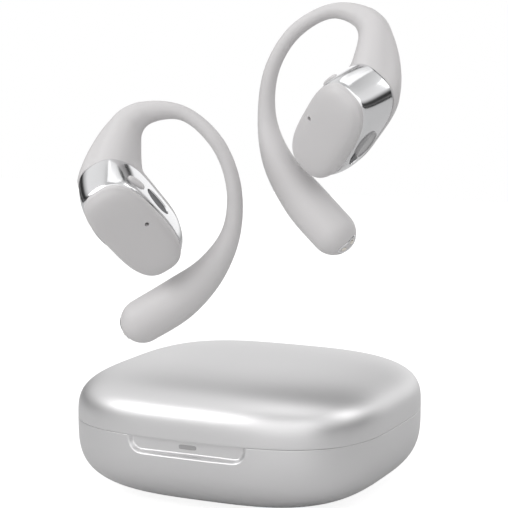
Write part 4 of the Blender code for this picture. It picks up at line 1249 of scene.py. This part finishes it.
    def build(self) -> None:
        """Make every piece of the bud and put each on its body, but for the hook skin, which stays on no body."""
        self.touch_cover()
        self.plated_band()
        self.trims()
        ear, hook = self.silicone()
        self.settle(ear, "bud", "ear_cover")
        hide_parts(self.name("arm_sleeve"), self.name("hook_sleeve"))
        start, end = (self.frame @ self.spine.at(station)[0] * MM for station in self.bend)
        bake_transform(hook)
        LOG.info("%s bends between %s and %s", hook.name, self.name("bud"), self.name("hook"))
        self.contact()
        self.arm_microphone()


# ---------------------------------------------------------------- carried-over solids

def dress_frame(frame: dict) -> None:
    """Give every solid that stays visible its finish, by the record's slots.

    Args:
        frame: What the frame's load gives.
    """
    slots = {entry["node"]: entry["material_slot"] for entry in frame["record"]["subparts"]}
    for name, item in frame["nodes"].items():
        material = SHOP.get(Slot(slots[name]))
        item.data.materials.clear()
        item.data.materials.append(material)
        shade(item)
        LOG.info("%s wears %s", name, slots[name])


# ---------------------------------------------------------------- studio

@dataclass
class Studio:
    """Pale floor, white surroundings, soft lamps and the camera."""

    distance: float = 0.5
    azimuth: float = 25.0
    elevation: float = 13.3
    target: tuple[float, float, float] = (0.0, 0.0, 0.0206)
    lens: float = 123.5
    sensor: float = 36.0
    pitch: float = 5.07
    yaw: float = -0.07
    sides: tuple[tuple[float, float], ...] = (
        (0.0, 0.25), (0.42, 0.20), (0.45, 0.03), (0.485, 0.03), (0.495, 0.35), (0.505, 0.03), (0.565, 0.04),
        (0.60, 0.50), (0.66, 1.0), (0.80, 0.90), (0.90, 0.45), (1.0, 0.45))
    rear: tuple[tuple[float, float], ...] = (
        (0.0, 0.25), (0.48, 0.40), (0.51, 1.2), (0.655, 1.2), (0.68, 0.04), (0.745, 0.05), (0.76, 0.50),
        (0.775, 0.05), (0.86, 0.04), (0.92, 0.45), (1.0, 0.45))
    front: tuple[tuple[float, float], ...] = (
        (0.0, 0.25), (0.46, 0.25), (0.56, 0.45), (0.70, 0.65), (0.85, 0.65), (1.0, 0.45))
    rear_edges: tuple[tuple[float, float], ...] = ((0.17, 1.0), (0.25, 0.0))
    front_edges: tuple[tuple[float, float], ...] = ((0.66, 0.0), (0.82, 1.0))
    floor_half: float = 0.7
    floor_tone: float = 0.62
    floor_shown: float = 0.28
    floor_glow: float = 0.88

    def back(self) -> Vector:
        """Give the direction from the target to the camera."""
        a, e = math.radians(self.azimuth), math.radians(self.elevation)
        return Vector((math.sin(a) * math.cos(e), -math.cos(a) * math.cos(e), math.sin(e)))

    def camera(self) -> None:
        """Make the camera and aim it so that the case stands low in the frame."""
        data = bpy.data.cameras.new("camera")
        data.lens = self.lens
        data.sensor_width = self.sensor
        data.clip_start = 0.01
        camera = bpy.data.objects.new("camera", data)
        bpy.context.scene.collection.objects.link(camera)
        camera.location = Vector(self.target) + self.back() * self.distance
        camera.rotation_mode = "QUATERNION"
        aim = (-self.back()).to_track_quat("-Z", "Y")
        tilt = Euler((math.radians(self.pitch), math.radians(self.yaw), 0.0)).to_quaternion()
        camera.rotation_quaternion = aim @ tilt
        bpy.context.scene.camera = camera

    def lamp(self, name: str, place: tuple[float, float, float], aim: tuple[float, float, float],
             size: tuple[float, float], watts: float) -> None:
        """Make one soft rectangular lamp.

        Args:
            name: The lamp's name.
            place: Where it stands, in metres.
            aim: What it points at.
            size: Its width and height.
            watts: Its power.
        """
        data = bpy.data.lights.new(name, "AREA")
        data.shape = "RECTANGLE"
        data.size, data.size_y = size
        data.energy = watts
        lamp = bpy.data.objects.new(name, data)
        bpy.context.scene.collection.objects.link(lamp)
        lamp.location = place
        lamp.rotation_mode = "QUATERNION"
        lamp.rotation_quaternion = (Vector(aim) - Vector(place)).to_track_quat("-Z", "Y")

    def lamps(self) -> None:
        """Make the key lamp at the front left, a broad fill in front, a strip at the right rear and a top lamp."""
        self.lamp("key", (-0.55, -0.72, 0.62), (0, 0, 0.05), (0.65, 0.45), 3.9)
        self.lamp("fill", (0.40, -1.0, 0.45), (0, 0, 0.08), (1.4, 1.2), 4.6)
        self.lamp("strip", (0.70, 0.35, 0.70), (0.02, 0, 0.03), (0.25, 0.45), 1.0)
        self.lamp("top", (0.0, 0.1, 1.1), (0, 0, 0.05), (0.8, 0.8), 2.0)

    @staticmethod
    def ramp(tree: bpy.types.NodeTree, source: bpy.types.NodeSocket, stops: tuple[tuple[float, float], ...]
             ) -> bpy.types.NodeSocket:
        """Make a grey ramp over a value.

        Args:
            tree: The world's node tree.
            source: The value, from 0 to 1.
            stops: Each stop's place and its grey.

        Returns:
            The ramp's colour socket.
        """
        node = tree.nodes.new("ShaderNodeValToRGB")
        for k, (spot, value) in enumerate(stops):
            stop = node.color_ramp.elements[k] if k < 2 else node.color_ramp.elements.new(spot)
            stop.position = spot
            stop.color = grey(value)
        tree.links.new(source, node.inputs["Fac"])
        return node.outputs["Color"]

    @staticmethod
    def figure(tree: bpy.types.NodeTree, operation: str, *values: bpy.types.NodeSocket | float
               ) -> bpy.types.NodeSocket:
        """Give the result of one Math node fed from sockets and plain numbers."""
        return put(tree, "Math", dict(enumerate(values)), operation=operation).outputs["Value"]

    def surroundings(self) -> None:
        """Make the world: white to the eye, and to everything else a studio of bright walls and dark flags."""
        world = bpy.data.worlds.new("studio")
        bpy.context.scene.world = world
        world.use_nodes = True
        tree = world.node_tree
        tree.nodes.clear()
        place = put(tree, "TexCoord")
        split = put(tree, "SeparateXYZ", {"Vector": place.outputs["Generated"]})
        rise = self.figure(tree, "DIVIDE", self.figure(tree, "ARCSINE", split.outputs["Z"]), math.pi)
        rise = self.figure(tree, "ADD", rise, 0.5)
        turn = self.figure(tree, "ARCTAN2", split.outputs["X"], split.outputs["Y"])
        turn = self.figure(tree, "DIVIDE", self.figure(tree, "ABSOLUTE", turn), math.pi)
        mixed = self.ramp(tree, rise, self.sides)
        for view, edges in ((self.rear, self.rear_edges), (self.front, self.front_edges)):
            tone = self.ramp(tree, rise, view)
            blend = put(tree, "Mix", {"Factor": self.ramp(tree, turn, edges), "A": mixed, "B": tone},
                        data_type="RGBA")
            mixed = blend.outputs["Result"]
        shown = put(tree, "Background", {"Color": grey(1.0)})
        lit = put(tree, "Background", {"Color": mixed})
        path = put(tree, "LightPath")
        pick = put(tree, "MixShader", {"Fac": path.outputs["Is Camera Ray"], 1: lit.outputs["Background"],
                                       2: shown.outputs["Background"]})
        put(tree, "OutputWorld", {"Surface": pick.outputs["Shader"]})

    def floor(self) -> None:
        """Make the pale floor, white to the eye but for the object's soft shadow."""
        mesh = bpy.data.meshes.new("floor")
        bm = bmesh.new()
        bmesh.ops.create_grid(bm, x_segments=1, y_segments=1, size=self.floor_half)
        bm.to_mesh(mesh)
        bm.free()
        item = bpy.data.objects.new("floor", mesh)
        bpy.context.scene.collection.objects.link(item)
        item.location.z = -0.0001
        material = bpy.data.materials.new("floor_paper")
        material.use_nodes = True
        tree = material.node_tree
        shader = tree.nodes["Principled BSDF"]
        shader.inputs["Roughness"].default_value = 0.8
        shader.inputs["Specular IOR Level"].default_value = 0.1
        seen = put(tree, "LightPath").outputs["Is Camera Ray"]
        paper = put(tree, "Mix", {"A": grey(self.floor_tone), "B": grey(self.floor_shown), "Factor": seen},
                    data_type="RGBA")
        glow = put(tree, "Math", {0: seen, 1: self.floor_glow}, operation="MULTIPLY")
        tree.links.new(paper.outputs["Result"], shader.inputs["Base Color"])
        tree.links.new(glow.outputs["Value"], shader.inputs["Emission Strength"])
        shader.inputs["Emission Color"].default_value = grey(1.0)
        mesh.materials.append(material)

    def build(self) -> None:
        """Make the camera, the lamps, the world and the floor."""
        self.camera()
        self.lamps()
        self.surroundings()
        self.floor()
        bpy.context.scene.view_settings.view_transform = "Standard"


def main() -> None:
    """Load the frame, dress it, build the case and the buds around it and set the studio."""
    logging.basicConfig(level=logging.INFO, format="%(name)s: %(message)s")
    for item in list(bpy.data.objects):
        bpy.data.objects.remove(item, do_unlink=True)
    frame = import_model()
    dress_frame(frame)
    Case().build()
    Bud(Side.LEFT, (15.5, -96.6, 82.6), (132.9, 44.1, 66.0)).build()
    Bud(Side.RIGHT, (54.9, -81.8, 106.0), (-117.2, 39.9, 140.2)).build()
    Studio().build()


if __name__ == "__main__":
    main()
